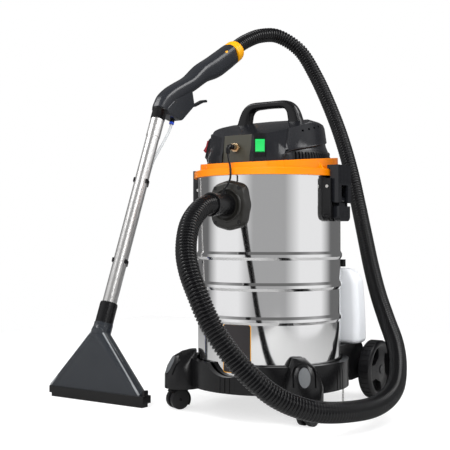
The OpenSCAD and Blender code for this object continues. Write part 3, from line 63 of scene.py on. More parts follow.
def make_camera():
    """A camera on a circle round the tank, aimed a little beside the tank's axis."""
    data = bpy.data.cameras.new("camera")
    data.sensor_width = SENSOR_MM
    data.lens = FOCAL_PX / IMAGE_PX * SENSOR_MM
    data.clip_start, data.clip_end = 0.05, 60
    camera = bpy.data.objects.new("camera", data)
    bpy.context.scene.collection.objects.link(camera)
    turn = math.radians(CAMERA_AZIMUTH)
    camera.location = (
        CAMERA_DISTANCE * math.sin(turn),
        -CAMERA_DISTANCE * math.cos(turn),
        CAMERA_HEIGHT,
    )
    heading = math.radians(CAMERA_AZIMUTH + CAMERA_ASIDE)
    down = math.radians(CAMERA_DOWN)
    ahead = Vector(
        (
            -math.sin(heading) * math.cos(down),
            math.cos(heading) * math.cos(down),
            -math.sin(down),
        )
    )
    camera.rotation_mode = "QUATERNION"
    camera.rotation_quaternion = ahead.to_track_quat("-Z", "Y")
    bpy.context.scene.camera = camera


make_camera()


# Curves and meshes -----------------------------------------------------------


def smooth_line(points, steps):
    """A smooth line through the points, with that many steps between two of them."""
    p = [Vector(q) for q in points]
    last = len(p) - 1
    line = []
    for i in range(last):
        a, b, c, d = p[max(i - 1, 0)], p[i], p[i + 1], p[min(i + 2, last)]
        for k in range(steps):
            t = k / steps
            line.append(
                0.5
                * (
                    2 * b
                    + (c - a) * t
                    + (2 * a - 5 * b + 4 * c - d) * t * t
                    + (3 * b - a - 3 * c + d) * t**3
                )
            )
    return line + [p[last]]


def travel(line):
    """Distance gone at each point of a line."""
    gone = [0.0]
    for a, b in zip(line, line[1:]):
        gone.append(gone[-1] + (b - a).length)
    return gone


def line_at(line, gone, s):
    """Place at a distance along a line."""
    s = min(max(s, 0.0), gone[-1])
    low, high = 0, len(gone) - 1
    while high - low > 1:
        middle = (low + high) // 2
        if gone[middle] <= s:
            low = middle
        else:
            high = middle
    share = (s - gone[low]) / max(gone[high] - gone[low], 1e-9)
    return line[low].lerp(line[high], share)


def add_mesh(name, verts, faces, body, slot, material, smooth=True):
    """A new piece from vertices and faces, riding on a body."""
    mesh = bpy.data.meshes.new(name)
    mesh.from_pydata([tuple(v) for v in verts], [], faces)
    mesh.update()
    mesh.polygons.foreach_set("use_smooth", [smooth] * len(mesh.polygons))
    obj = bpy.data.objects.new(name, mesh)
    bpy.context.scene.collection.objects.link(obj)
    mesh.materials.append(material)
    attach(obj, body)
    return obj


def add_fixed(name, mesh, slot, finish=None, smooth=True):
    """A new piece of the machine's body; its finish is named like its slot unless told."""
    return add_mesh(name, *mesh, "machine", slot, finishes[finish or slot], smooth)


def tube_mesh(centres, radii, sides, start, closed_ends=True):
    """Vertices and faces of a tube, its rings carried along without twist."""
    side = Vector(start)
    verts, faces = [], []
    count = len(centres)
    for i, centre in enumerate(centres):
        ahead = centres[min(i + 1, count - 1)] - centres[max(i - 1, 0)]
        ahead.normalize()
        side = (side - side.dot(ahead) * ahead).normalized()
        other = ahead.cross(side)
        for k in range(sides):
            turn = 2 * math.pi * k / sides
            verts.append(centre + radii[i] * (math.cos(turn) * side + math.sin(turn) * other))
    for i in range(count - 1):
        for k in range(sides):
            a, b = i * sides + k, i * sides + (k + 1) % sides
            faces.append((a, b, b + sides, a + sides))
    if closed_ends:
        faces.append(tuple(reversed(range(sides))))
        faces.append(tuple(range((count - 1) * sides, count * sides)))
    return verts, faces


def loft(rings):
    """Vertices and faces of a closed skin over rings of equal count."""
    verts = [point for ring in rings for point in ring]
    count = len(rings[0])
    faces = [
        (i * count + k, i * count + (k + 1) % count, (i + 1) * count + (k + 1) % count, (i + 1) * count + k)
        for i in range(len(rings) - 1)
        for k in range(count)
    ]
    faces.append(tuple(reversed(range(count))))
    faces.append(tuple(range((len(rings) - 1) * count, len(rings) * count)))
    return verts, faces


def joined(parts):
    """The vertices and the faces of several meshes in one list each."""
    verts, faces = [], []
    for more_verts, more_faces in parts:
        faces += [tuple(i + len(verts) for i in face) for face in more_faces]
        verts += more_verts
    return verts, faces


def circle(centre, across, up, radius, count):
    """Points round a circle, turning from one of its directions towards the other."""
    turns = [math.tau * k / count for k in range(count)]
    return [centre + (across * math.cos(t) + up * math.sin(t)) * radius for t in turns]


def rounded_outline(width, height, corner, per_corner=6):
    """Points round a rectangle with round corners, centred on the origin."""
    points = []
    for quarter in range(4):
        turn = math.pi / 2 * quarter
        cx = (width / 2 - corner) * (1 if quarter in (0, 3) else -1)
        cy = (height / 2 - corner) * (1 if quarter in (0, 1) else -1)
        for k in range(per_corner + 1):
            t = turn + math.pi / 2 * k / per_corner
            points.append((cx + corner * math.cos(t), cy + corner * math.sin(t)))
    return points


# Effects that several finishes share -------------------------------------------


def new_group(name, numbers, outputs):
    """A node group with named number inputs and outputs; returns it with its two ends."""
    group = bpy.data.node_groups.new(name, "ShaderNodeTree")
    for label, value in numbers.items():
        socket = group.interface.new_socket(label, in_out="INPUT", socket_type="NodeSocketFloat")
        socket.default_value = value
    for label in outputs:
        group.interface.new_socket(label, in_out="OUTPUT", socket_type="NodeSocketFloat")
    ends = group.nodes.new("NodeGroupInput"), group.nodes.new("NodeGroupOutput")
    return group, *ends


def add_node(tree, kind, **settings):
    """A shader node of that kind with its settings."""
    node = tree.nodes.new("ShaderNode" + kind)
    for key, value in settings.items():
        setattr(node, key, value)
    return node


def math_node(tree, operation, *values, clamp=False):
    """A Math node whose inputs are numbers or sockets."""
    node = add_node(tree, "Math", operation=operation, use_clamp=clamp)
    for socket, value in zip(node.inputs, values):
        if isinstance(value, (int, float)):
            socket.default_value = value
        else:
            tree.links.new(value, socket)
    return node.outputs[0]


def noise_node(tree, vector, scale, detail=2.0, roughness=0.5):
    """A noise field's value over a vector."""
    node = add_node(tree, "TexNoise")
    node.inputs["Detail"].default_value = detail
    node.inputs["Roughness"].default_value = roughness
    tree.links.new(vector, node.inputs["Vector"])
    if isinstance(scale, (int, float)):
        node.inputs["Scale"].default_value = scale
    else:
        tree.links.new(scale, node.inputs["Scale"])
    return node.outputs["Fac"]


def make_mould_grain():
    """The fine pebbled skin of moulded plastic, with its slow changes of gloss."""
    group, start, end = new_group(
        "mould_grain", {"Grain Scale": 1400.0, "Gloss": 0.4, "Gloss Change": 0.06}, ["Height", "Roughness"]
    )
    place = add_node(group, "TexCoord").outputs["Object"]
    fine = noise_node(group, place, start.outputs["Grain Scale"], 3.0, 0.6)
    slow = noise_node(group, place, 24.0, 3.0)
    shift = math_node(group, "SUBTRACT", slow, 0.5)
    change = math_node(group, "MULTIPLY", shift, start.outputs["Gloss Change"])
    doubled = math_node(group, "MULTIPLY", change, 2.0)
    gloss = math_node(group, "ADD", doubled, start.outputs["Gloss"], clamp=True)
    group.links.new(fine, end.inputs["Height"])
    group.links.new(gloss, end.inputs["Roughness"])
    return group


def make_rolled_sheet():
    """The slow waves and faint polishing marks of a rolled and polished steel sheet."""
    group, start, end = new_group(
        "rolled_sheet", {"Wave Scale": 5.0, "Mark Scale": 900.0, "Gloss": 0.1}, ["Height", "Roughness"]
    )
    place = add_node(group, "TexCoord").outputs["Object"]
    slow = noise_node(group, place, start.outputs["Wave Scale"], 1.0)
    stretched = add_node(group, "Mapping", vector_type="POINT")
    stretched.inputs["Scale"].default_value = (1.0, 1.0, 0.02)
    group.links.new(place, stretched.inputs["Vector"])
    marks = noise_node(group, stretched.outputs["Vector"], start.outputs["Mark Scale"], 2.0)
    spread = math_node(group, "MULTIPLY", marks, 0.06)
    gloss = math_node(group, "ADD", spread, start.outputs["Gloss"], clamp=True)
    group.links.new(slow, end.inputs["Height"])
    group.links.new(gloss, end.inputs["Roughness"])
    return group


def make_low_dust():
    """A thin dust that settles in patches on the lowest parts."""
    group, start, end = new_group("low_dust", {"Top": 0.1, "Strength": 0.3}, ["Mask"])
    place = add_node(group, "TexCoord").outputs["Object"]
    split = add_node(group, "SeparateXYZ")
    group.links.new(place, split.inputs[0])
    share = math_node(group, "DIVIDE", split.outputs["Z"], start.outputs["Top"])
    low = math_node(group, "SUBTRACT", 1.0, share, clamp=True)
    patches = noise_node(group, place, 60.0, 4.0, 0.6)
    mixed = math_node(group, "MULTIPLY", low, patches)
    mask = math_node(group, "MULTIPLY", mixed, start.outputs["Strength"], clamp=True)
    group.links.new(mask, end.inputs["Mask"])
    return group


MOULD_GRAIN = make_mould_grain()
ROLLED_SHEET = make_rolled_sheet()
LOW_DUST = make_low_dust()


# Finishes ----------------------------------------------------------------------


def new_finish(name, color, roughness=0.5, metallic=0.0, **sockets):
    """A Principled material; further sockets are set by their names."""
    material = bpy.data.materials.new(name)
    material.use_nodes = True
    shader = material.node_tree.nodes["Principled BSDF"]
    shader.inputs["Base Color"].default_value = (*color, 1.0)
    shader.inputs["Roughness"].default_value = roughness
    shader.inputs["Metallic"].default_value = metallic
    for key, value in sockets.items():
        shader.inputs[key.replace("_", " ")].default_value = value
    return material, material.node_tree, shader


def place_group(tree, group, **values):
    """A group's node in a material, with its own values."""
    node = tree.nodes.new("ShaderNodeGroup")
    node.node_tree = group
    for key, value in values.items():
        node.inputs[key.replace("_", " ")].default_value = value
    return node


def bump_from(tree, shader, height, depth, distance=0.0002):
    """The shader's normal from a height, raised by so much of a distance."""
    bump = add_node(tree, "Bump")
    bump.inputs["Strength"].default_value = depth
    bump.inputs["Distance"].default_value = distance
    tree.links.new(height, bump.inputs["Height"])
    tree.links.new(bump.outputs["Normal"], shader.inputs["Normal"])


DUST_COLOR = (0.20, 0.19, 0.175, 1.0)


def moulded(name, color, gloss, grain=0.25, scale=1400.0, change=0.05, dusty=0.0, **sockets):
    """Moulded plastic with a fine grain, and dust towards the floor where asked."""
    material, tree, shader = new_finish(name, color, gloss, **sockets)
    skin = place_group(tree, MOULD_GRAIN, Grain_Scale=scale, Gloss=gloss, Gloss_Change=change)
    tree.links.new(skin.outputs["Roughness"], shader.inputs["Roughness"])
    bump_from(tree, shader, skin.outputs["Height"], grain)
    if dusty:
        dust = place_group(tree, LOW_DUST, Strength=dusty)
        mix = add_node(tree, "MixRGB")
        mix.inputs["Color1"].default_value = (*color, 1.0)
        mix.inputs["Color2"].default_value = DUST_COLOR
        tree.links.new(dust.outputs["Mask"], mix.inputs["Fac"])
        tree.links.new(mix.outputs["Color"], shader.inputs["Base Color"])
    return material


def polished_sheet(name, color, gloss, wave=0.2, wave_scale=5.0):
    """Polished steel sheet that bends its reflections a little."""
    material, tree, shader = new_finish(name, color, gloss, metallic=1.0)
    sheet = place_group(tree, ROLLED_SHEET, Wave_Scale=wave_scale, Gloss=gloss)
    tree.links.new(sheet.outputs["Roughness"], shader.inputs["Roughness"])
    bump_from(tree, shader, sheet.outputs["Height"], wave, 0.002)
    return material


def clear_plastic(name, color, gloss, see_through):
    """Tinted clear plastic that is seen through less towards its rims."""
    material, tree, shader = new_finish(name, color, gloss, IOR=1.46)
    rim = add_node(tree, "LayerWeight")
    rim.inputs["Blend"].default_value = 0.35
    solid = math_node(tree, "MULTIPLY_ADD", rim.outputs["Facing"], see_through * 0.9, 1.0 - see_through)
    tree.links.new(solid, shader.inputs["Alpha"])
    skin = place_group(tree, MOULD_GRAIN, Grain_Scale=300.0, Gloss=gloss, Gloss_Change=0.03)
    tree.links.new(skin.outputs["Roughness"], shader.inputs["Roughness"])
    return material


BLACK = (0.0045, 0.0045, 0.005)
CHARCOAL = (0.008, 0.0085, 0.0105)
BLACK_SHINE = 0.3
finishes = {
    "tank_steel": polished_sheet("polished_tank_steel", (0.86, 0.86, 0.86), 0.05, 0.12),
    "orange_plastic": moulded("orange_lid_plastic", (1.0, 0.265, 0.0), 0.30, 0.06, Specular_IOR_Level=0.3),
    "black_plastic": moulded(
        "black_housing_plastic", BLACK, 0.24, 0.12, dusty=0.04, Specular_IOR_Level=BLACK_SHINE
    ),
    "charcoal_plastic": moulded("charcoal_cover_plastic", CHARCOAL, 0.17, 0.03, Specular_IOR_Level=0.38),
    "olive_panel": moulded("olive_panel_plastic", (0.034, 0.033, 0.024), 0.50, 0.10),
    "hose_plastic": moulded("black_hose_plastic", (0.0015, 0.0015, 0.002), 0.2, 0.0, Specular_IOR_Level=0.4),
    "green_plastic": moulded(
        "lit_green_rocker", (0.01, 0.42, 0.08), 0.18, 0.02,
        Emission_Color=(0.03, 0.9, 0.2, 1), Emission_Strength=0.18,
    ),
    "red_plastic": moulded("red_rocker_plastic", (0.20, 0.004, 0.012), 0.22, 0.05),
    "blue_plastic": moulded("blue_fitting_plastic", (0.015, 0.07, 0.60), 0.25, 0.05),
    "amber_plastic": moulded("amber_collar_plastic", (0.76, 0.33, 0.001), 0.42, 0.0, Specular_IOR_Level=0.3),
    "smoky_plastic": clear_plastic("smoky_nozzle_plastic", (0.030, 0.034, 0.040), 0.10, 0.30),
    "clear_plastic": clear_plastic("clear_tube_plastic", (0.60, 0.62, 0.64), 0.12, 0.62),
    "white_plastic": moulded("white_bottle_plastic", (0.80, 0.82, 0.85), 0.30, 0.05, Specular_IOR_Level=0.4),
    "wand_steel": polished_sheet("chromed_wand_steel", (0.72, 0.71, 0.70), 0.36, 0.02, 9.0),
    "zinc_steel": polished_sheet("zinc_plated_steel", (0.62, 0.62, 0.60), 0.28, 0.1, 60.0),
    "coupling_brass": polished_sheet("turned_coupling_brass", (0.80, 0.60, 0.38), 0.20, 0.05, 40.0),
    "seal_rubber": moulded("black_seal_rubber", (0.015, 0.015, 0.015), 0.75, 0.4),
    "wheel_plastic": moulded("black_wheel_plastic", (0.006, 0.006, 0.007), 0.36, 0.12, dusty=0.08),
    "motor_metal": moulded("painted_motor_steel", (0.16, 0.17, 0.18), 0.40, 0.15),
    "fan_aluminium": polished_sheet("fan_aluminium", (0.70, 0.71, 0.72), 0.30, 0.1, 60.0),
    "grey_inlay": moulded("grey_inlay_plastic", (0.085, 0.09, 0.095), 0.55, 0.8, 220.0),
    "filter_foam": moulded("grey_filter_foam", (0.035, 0.037, 0.04), 0.9, 1.0, 500.0),
    "float_plastic": moulded("orange_float_plastic", (0.75, 0.22, 0.03), 0.45, 0.2),
    "flange_grey": moulded(
        "olive_grey_flange_plastic", (0.0125, 0.012, 0.0105), 0.32, 0.04, Specular_IOR_Level=0.45
    ),
    "handle_grey": moulded(
        "dark_grey_handle_plastic", (0.013, 0.0145, 0.018), 0.26, 0.05, Specular_IOR_Level=0.45
    ),
    "label_black": moulded("black_label_film", (0.014, 0.011, 0.012), 0.30, 0.05),
    "weld_steel": polished_sheet("ground_weld_steel", (0.62, 0.62, 0.62), 0.32, 0.3, 200.0),
}


# CAD nodes ---------------------------------------------------------------------

slot_of = {part["node"]: part["material_slot"] for part in frame["record"]["subparts"]}
BEVEL = 0.7 * MM
BEVEL_ANGLE = math.radians(32)
WELD_REACH = 0.01 * MM
# Sheet metal keeps its edges and normals as they come; these others only lack broken edges.
SHEET_METAL = {"tank_shell", "wand_tube"}
UNBEVELLED = {"suction_hose", "solution_lead", "drag_chain"}


def dress_node(name):
    """A CAD node's finish, with its seams welded, flat faces joined and edges broken."""
    obj = frame["nodes"][name]
    obj.data.materials.clear()
    obj.data.materials.append(finishes[slot_of[name]])
    if name in SHEET_METAL:
        return
    if obj.data.has_custom_normals:
        obj.data.attributes.remove(obj.data.attributes["custom_normal"])
    obj.data.polygons.foreach_set("use_smooth", [True] * len(obj.data.polygons))
    weld = obj.modifiers.new("weld", "WELD")
    weld.merge_threshold = WELD_REACH
    flat = obj.modifiers.new("flat", "DECIMATE")
    flat.decimate_type = "DISSOLVE"
    flat.angle_limit = math.radians(1.0)
    if name not in UNBEVELLED:
        edge = obj.modifiers.new("edge", "BEVEL")
        edge.width = BEVEL
        edge.segments = 2
        edge.limit_method = "ANGLE"
        edge.angle_limit = BEVEL_ANGLE
        edge.harden_normals = True
    even = obj.modifiers.new("even", "WEIGHTED_NORMAL")
    even.keep_sharp = True


for node_name in frame["nodes"]:
    dress_node(node_name)
frame["nodes"]["pan_screws"].data.materials[0] = finishes["black_plastic"]


# Hose and lead ------------------------------------------------------------------

# Middle lines of the hose, from cuff to collar, and of the lead, from plug to grommet, in millimetres.
HOSE_ROUTE = [
    (0, -190, 453), (0, -232, 453), (3, -272, 442), (11, -318, 410), (28, -353, 364), (50, -373, 323),
    (76, -382, 280), (101, -381, 232), (131, -370, 183), (167, -344, 131), (204, -303, 87), (242, -243, 59),
    (274, -165, 48), (293, -67, 47), (282, 42, 62), (250, 138, 96), (207, 223, 137), (151, 301, 186),
    (99, 368, 241), (50, 432, 309), (5, 489, 389), (-40, 541, 480), (-85, 585, 580), (-134, 620, 682),
    (-185, 644, 779), (-236, 657, 870), (-282, 647, 946), (-329, 601, 987), (-357, 541, 982),
    (-371, 480, 956), (-375, 430, 927), (-375, 394, 905.4),
]
LEAD_ROUTE = [
    (0, -167, 562), (3, -169, 551), (9, -172.5, 537), (12, -175, 522), (12, -177, 507), (7, -182, 493),
    (2, -184, 487), (2, -184, 481),
]
HOSE_R = 21 * MM
HOSE_GROOVE = 3.4 * MM
HOSE_BORE_R = 15.5 * MM
HOSE_SIDES = 28
BORE_RINGS = 121
LAST_RIB_GAP = 0.3 * MM
LEAD_R = 2.2 * MM


def metres(route):
    """The points of a route given in millimetres."""
    return [Vector(point) * MM for point in route]


# Pitch of the ribs where the hose lies and where it hangs, and the stretch over which it changes.
RIB_PITCH_LAID = 7.0 * MM
RIB_PITCH_HUNG = 8.8 * MM
HUNG_FROM, HUNG_TO = 0.85, 1.15


def rib_pitch(s):
    """The ribs stand wider apart where the hose hangs than where it lies."""
    share = min(max((s - HUNG_FROM) / (HUNG_TO - HUNG_FROM), 0.0), 1.0)
    return RIB_PITCH_LAID + (RIB_PITCH_HUNG - RIB_PITCH_LAID) * share * share * (3 - 2 * share)


# Depth of the skin over one rib, as shares of its pitch and of the groove's depth.
RIB_PROFILE = [
    (0.0, 1.0), (0.10, 0.9), (0.24, 0.3), (0.40, 0.02), (0.54, 0.0), (0.68, 0.05), (0.84, 0.4), (0.94, 0.92),
]


def make_suction_hose():
    """The ribbed hose, open at both ends, from the cuff to the collar."""
    line = smooth_line(metres(HOSE_ROUTE), 14)
    gone = travel(line)
    total = gone[-1]
    centres, radii = [], []
    s = 0.0
    while s < total - 1e-6:
        pitch = rib_pitch(s)
        for share, depth in RIB_PROFILE:
            if s + share * pitch < total - LAST_RIB_GAP:
                centres.append(line_at(line, gone, s + share * pitch))
                radii.append(HOSE_R - HOSE_GROOVE * depth)
        s += pitch
    centres.append(line[-1])
    radii.append(HOSE_R - HOSE_GROOVE)
    sides = HOSE_SIDES
    verts, faces = tube_mesh(centres, radii, sides, (1, 0, 0), closed_ends=False)
    inner_line = [line_at(line, gone, total * k / (BORE_RINGS - 1)) for k in range(BORE_RINGS)]
    bore = [HOSE_BORE_R] * BORE_RINGS
    inner_verts, inner_faces = tube_mesh(inner_line, bore, sides, (1, 0, 0), closed_ends=False)
    first_inner = len(verts)
    last_outer = first_inner - sides
    last_inner = first_inner + len(inner_verts) - sides
    faces += [tuple(first_inner + v for v in reversed(face)) for face in inner_faces]
    for k in range(sides):
        j = (k + 1) % sides
        faces.append((k, first_inner + k, first_inner + j, j))
        faces.append((last_outer + k, last_outer + j, last_inner + j, last_inner + k))
    hose = add_fixed("ribbed_suction_hose", (verts + inner_verts, faces), "hose_plastic")
    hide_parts("suction_hose")


def make_solution_lead():
    """The thin lead from the elbow plug to the grommet on the cuff."""
    line = smooth_line(metres(LEAD_ROUTE), 8)
    lead = add_fixed("thin_solution_lead", tube_mesh(line, [LEAD_R] * len(line), 16, (1, 0, 0)), "hose_plastic")
    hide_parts("solution_lead")


make_suction_hose()
make_solution_lead()


# Bottle --------------------------------------------------------------------------

BOTTLE_FOOT = 11 * MM
BOTTLE_SHOULDER = 40 * MM
BOTTLE_TAPER = 5 * MM
BOTTLE_CORNER = 15 * MM
# The neck under the cap: height over the shoulder and radius, in millimetres.
NECK_STEPS = [(-3, 16), (3, 16), (4, 17), (6, 17), (7, 16), (11.5, 16), (12, 15.5)]


def make_bottle():
    """The blow-moulded bottle: a tall flat box with a rolled foot, round shoulders and a neck."""
    low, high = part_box("solution_bottle")
    cap_low, cap_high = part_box("filler_cap")
    shoulder_z = cap_low.z - 0.5 * MM
    half_w, half_d = (high.x - low.x) / 2, (high.y - low.y) / 2
    middle_y = (high.y + low.y) / 2
    rings = []

    def ring(z, narrower, thinner, corner):
        outline = rounded_outline(2 * (half_w - narrower), 2 * (half_d - thinner), corner, 8)
        rings.append([(x, middle_y + y, z) for x, y in outline])

    for k in range(7):
        t = math.pi / 2 * k / 6
        drawn = BOTTLE_FOOT * (1 - math.sin(t))
        ring(low.z + BOTTLE_FOOT * (1 - math.cos(t)), drawn, drawn, BOTTLE_CORNER - drawn * 0.6)
    for k in range(1, 9):
        share = k / 8
        z = low.z + BOTTLE_FOOT + (shoulder_z - BOTTLE_SHOULDER - low.z - BOTTLE_FOOT) * share
        ring(z, BOTTLE_TAPER * share * share, BOTTLE_TAPER * 0.5 * share, BOTTLE_CORNER)
    for k in range(1, 13):
        t = math.pi / 2 * k / 12
        rise = BOTTLE_SHOULDER * math.sin(t)
        round_in = 1 - math.cos(t)
        ring(
            shoulder_z - BOTTLE_SHOULDER + rise,
            BOTTLE_TAPER + BOTTLE_SHOULDER * 0.9 * round_in,
            BOTTLE_TAPER * 0.5 + 16 * MM * round_in,
            BOTTLE_CORNER - 6 * MM * round_in,
        )
    bottle = add_fixed("blow_moulded_bottle", loft(rings), "white_plastic")
    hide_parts("solution_bottle")
    neck = (cap_low + cap_high) / 2
    neck_rings = [
        circle(Vector((neck.x, neck.y, shoulder_z + z * MM)), AXIS_X, AXIS_Y, r * MM, 32) for z, r in NECK_STEPS
    ]
    add_fixed("bottle_neck_thread", loft(neck_rings), "white_plastic")


make_bottle()


# Plates on the tank ---------------------------------------------------------------

TANK_R = 160 * MM
LABEL_X = (-17 * MM, 49 * MM)
LABEL_Z = (100 * MM, 203 * MM)
LABEL_CORNER = 6 * MM
LABEL_EDGE = 1.4 * MM


# Between the tank's beads: from and to which height the seam shows, in millimetres.
SEAM_SPANS = [(84, 204), (216, 275), (287, 340), (352, 505)]


def curved_plate(name, x_span, z_span, corner, rise, slot, finish, turn=0.0, columns=40):
    """A thin plate bent round the tank, with round corners; rise is from and to how far off the tank."""
    verts, faces = [], []
    for i in range(columns + 1):
        x = x_span[0] + (x_span[1] - x_span[0]) * (0.5 - 0.5 * math.cos(math.pi * i / columns))
        near_end = min(x - x_span[0], x_span[1] - x)
        cut = 0.0
        if near_end < corner:
            cut = corner - math.sqrt(max(corner**2 - (corner - near_end) ** 2, 0.0))
        angle = x / TANK_R + turn
        for r in (TANK_R + rise[0] * MM, TANK_R + rise[1] * MM):
            for z in (z_span[0] + cut, z_span[1] - cut):
                verts.append((r * math.sin(angle), -r * math.cos(angle), z))
    for i in range(columns):
        a, b = 4 * i, 4 * i + 4
        faces += [
            (a + 2, b + 2, b + 3, a + 3),
            (a, a + 1, b + 1, b),
            (a + 1, a + 3, b + 3, b + 1),
            (a, b, b + 2, a + 2),
        ]
    faces += [(0, 2, 3, 1), (4 * columns, 4 * columns + 1, 4 * columns + 3, 4 * columns + 2)]
    add_fixed(name, (verts, faces), slot, finish, smooth=False)


def make_label():
    """A bare black plate with an amber rim."""
    inner_x = (LABEL_X[0] + LABEL_EDGE, LABEL_X[1] - LABEL_EDGE)
    inner_z = (LABEL_Z[0] + LABEL_EDGE, LABEL_Z[1] - LABEL_EDGE)
    inner_corner = LABEL_CORNER - LABEL_EDGE
    curved_plate("label_rim", LABEL_X, LABEL_Z, LABEL_CORNER, (0.02, 0.35), "amber_plastic", "amber_plastic")
    curved_plate("label_plate", inner_x, inner_z, inner_corner, (0.30, 0.55), "black_plastic", "label_black")


def make_weld_seam():
    """The weld that closes the tank's sheet, between its beads, at the back."""
    half = 1.4 * MM
    for i, (low, high) in enumerate(SEAM_SPANS):
        curved_plate(
            f"tank_seam_{i}", (-half, half), (low * MM, high * MM), 1.2 * MM, (-0.1, 0.3),
            "tank_steel", "weld_steel", turn=math.pi, columns=8,
        )


make_label()
make_weld_seam()


# Marks and small trim ---------------------------------------------------------------


def raised_outline(name, outline, place, x_dir, y_dir, thickness, slot):
    """A small raised plate of a flat outline at a place, facing along the cross of its two directions."""
    x_dir, y_dir = Vector(x_dir).normalized(), Vector(y_dir).normalized()
    out = x_dir.cross(y_dir)
    place = Vector(place)
    rings = [
        [place + x_dir * x * s + y_dir * y * s + out * lift for x, y in outline]
        for lift, s in ((-0.3 * MM, 1.0), (thickness * 0.6, 1.0), (thickness, 0.93))
    ]
    add_fixed(name, loft(rings), slot, smooth=False)


HANDLE_X = -375 * MM
GRIP_LEAN = math.radians(59)
WAND_LEAN = math.radians(22)
WAND_FOOT = Vector((HANDLE_X, -136 * MM, 175 * MM))


def on_line(foot, lean, off, s):
    """A place on the handle's middle plane: so far across a leaning line and along it, in millimetres."""
    y = off * math.cos(lean) + s * math.sin(lean)
    z = s * math.cos(lean) - off * math.sin(lean)
    return foot + Vector((0, y, z)) * MM


def on_wand(off, s):
    """A place so far behind the wand's axis and up its tube."""
    return on_line(WAND_FOOT, WAND_LEAN, off, s)


LOCK_HEIGHT = 532
# The lock button's steps: how far off the wand's axis, and radius, in millimetres.
LOCK_STEPS = [(17.0, 3.6), (18.2, 3.4), (18.9, 2.4), (19.2, 1.0)]


def make_wand_button():
    """The spring button that locks the wand's tube, shown through its hole."""
    centre = on_wand(0, LOCK_HEIGHT)
    along = Vector((0, math.sin(WAND_LEAN), math.cos(WAND_LEAN)))
    out = Vector((0.62, -0.78 * math.cos(WAND_LEAN), 0.78 * math.sin(WAND_LEAN))).normalized()
    side = out.cross(along).normalized()
    up = side.cross(out)
    rings = [circle(centre + out * lift * MM, side, up, r * MM, 24) for lift, r in LOCK_STEPS]
    add_fixed("wand_lock_button", loft(rings), "wand_steel")


make_wand_button()


# Carry handle and pistol handle ----------------------------------------------------


def soft_section(centre, across, up, half_across, half_up, squareness=2.8, count=40, seam=0.0):
    """A ring between an ellipse and a box in shape, with a fine seam where its middle plane cuts it."""
    ring = []
    for k in range(count):
        turn = math.tau * k / count
        c, s = math.cos(turn), math.sin(turn)
        x = half_across * math.copysign(abs(c) ** (2 / squareness), c)
        y = half_up * math.copysign(abs(s) ** (2 / squareness), s)
        if seam and abs(c) < 1e-6:
            y -= math.copysign(seam, y)
        ring.append(centre + across * x + up * y)
    return ring


# The carry handle's middle line: x, height, half thickness and half depth in millimetres.
CARRY_Y = 5
CARRY_LINE = [
    (70, 622, 24, 19), (68, 634, 19, 16.5), (66, 646, 16, 14.5), (63, 658, 14.5, 14), (58, 670, 12.5, 14),
    (49, 679, 10.5, 14), (37, 683, 8.9, 14), (18, 683.8, 8.2, 14), (0, 684, 8, 14),
]


def make_carry_handle():
    """The carry handle: one smooth bow whose feet flare into the cover."""
    stations = CARRY_LINE + [(-x, z, t, d) for x, z, t, d in reversed(CARRY_LINE[:-1])]
    line = smooth_line([(x, z, t) for x, z, t, _ in stations], 5)
    depths = smooth_line([(d, 0, 0) for _, _, _, d in stations], 5)
    rings = []
    for i, point in enumerate(line):
        ahead = line[min(i + 1, len(line) - 1)] - line[max(i - 1, 0)]
        ahead = Vector((ahead.x, 0, ahead.y)).normalized()
        outward = Vector((ahead.z, 0, -ahead.x))
        centre = Vector((point.x, CARRY_Y, point.y)) * MM
        rings.append(soft_section(centre, AXIS_Y, outward, depths[i].x * MM, point.z * MM, 3.0))
    bow = add_fixed("carry_bow", loft(rings), slot_of["carry_handle"])
    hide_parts("carry_handle")


make_carry_handle()


COLLAR_MOUTH = Vector((HANDLE_X, 430 * MM, 927 * MM))


def on_grip(off, s):
    """A place so far below the grip's axis and along it from the collar."""
    return on_line(COLLAR_MOUTH, GRIP_LEAN, off, s)


# The pistol handle's middle line, each with its half height and half width in millimetres.
PISTOL_LINE = [
    (on_wand(0, 577), 19.2, 18.8), (on_wand(2, 590), 19.6, 19.4), (on_wand(10, 611), 21.5, 21.5),
    (on_grip(-8, -345), 22, 23), (on_grip(-6, -310), 21.5, 24), (on_grip(-2, -256), 21.5, 24.8),
    (on_grip(-4, -194), 26, 25), (on_grip(3, -134), 30.6, 25), (on_grip(4.5, -80), 31, 25),
    (on_grip(4.5, -50), 30.5, 25), (on_grip(4.5, -33.3), 30, 25),
]
# The trigger's housing is stretched over these discs: y, height and radius, in millimetres.
HOUSING_DISCS = [(98, 711, 13), (144, 705, 16), (188, 739, 15), (178, 766, 18)]
HOUSING_HALF_WIDTH, HOUSING_RIM = 22, 5
# The wand's socket: height up the wand and radius, in millimetres.
SOCKET_STEPS = [(548.5, 17.6), (549.5, 18.5), (573, 18.5), (573.6, 20.2), (577.4, 20.2), (578, 19)]


def wand_turned(off, steps, sides):
    """A turned shape along the wand, so far behind its axis; its steps give height and radius."""
    return tube_mesh([on_wand(off, s) for s, _ in steps], [r * MM for _, r in steps], sides, AXIS_X)


def disc_hull(discs, count=28):
    """The convex outline round discs given by place and radius."""
    points = sorted(
        (cx + r * math.cos(math.tau * k / count), cy + r * math.sin(math.tau * k / count))
        for cx, cy, r in discs
        for k in range(count)
    )

    def chain(run):
        kept = []
        for point in run:
            while len(kept) > 1:
                (ax, ay), (bx, by) = kept[-2], kept[-1]
                if (bx - ax) * (point[1] - ay) - (by - ay) * (point[0] - ax) > 1e-9:
                    break
                kept.pop()
            kept.append(point)
        return kept[:-1]

    return chain(points) + chain(reversed(points))


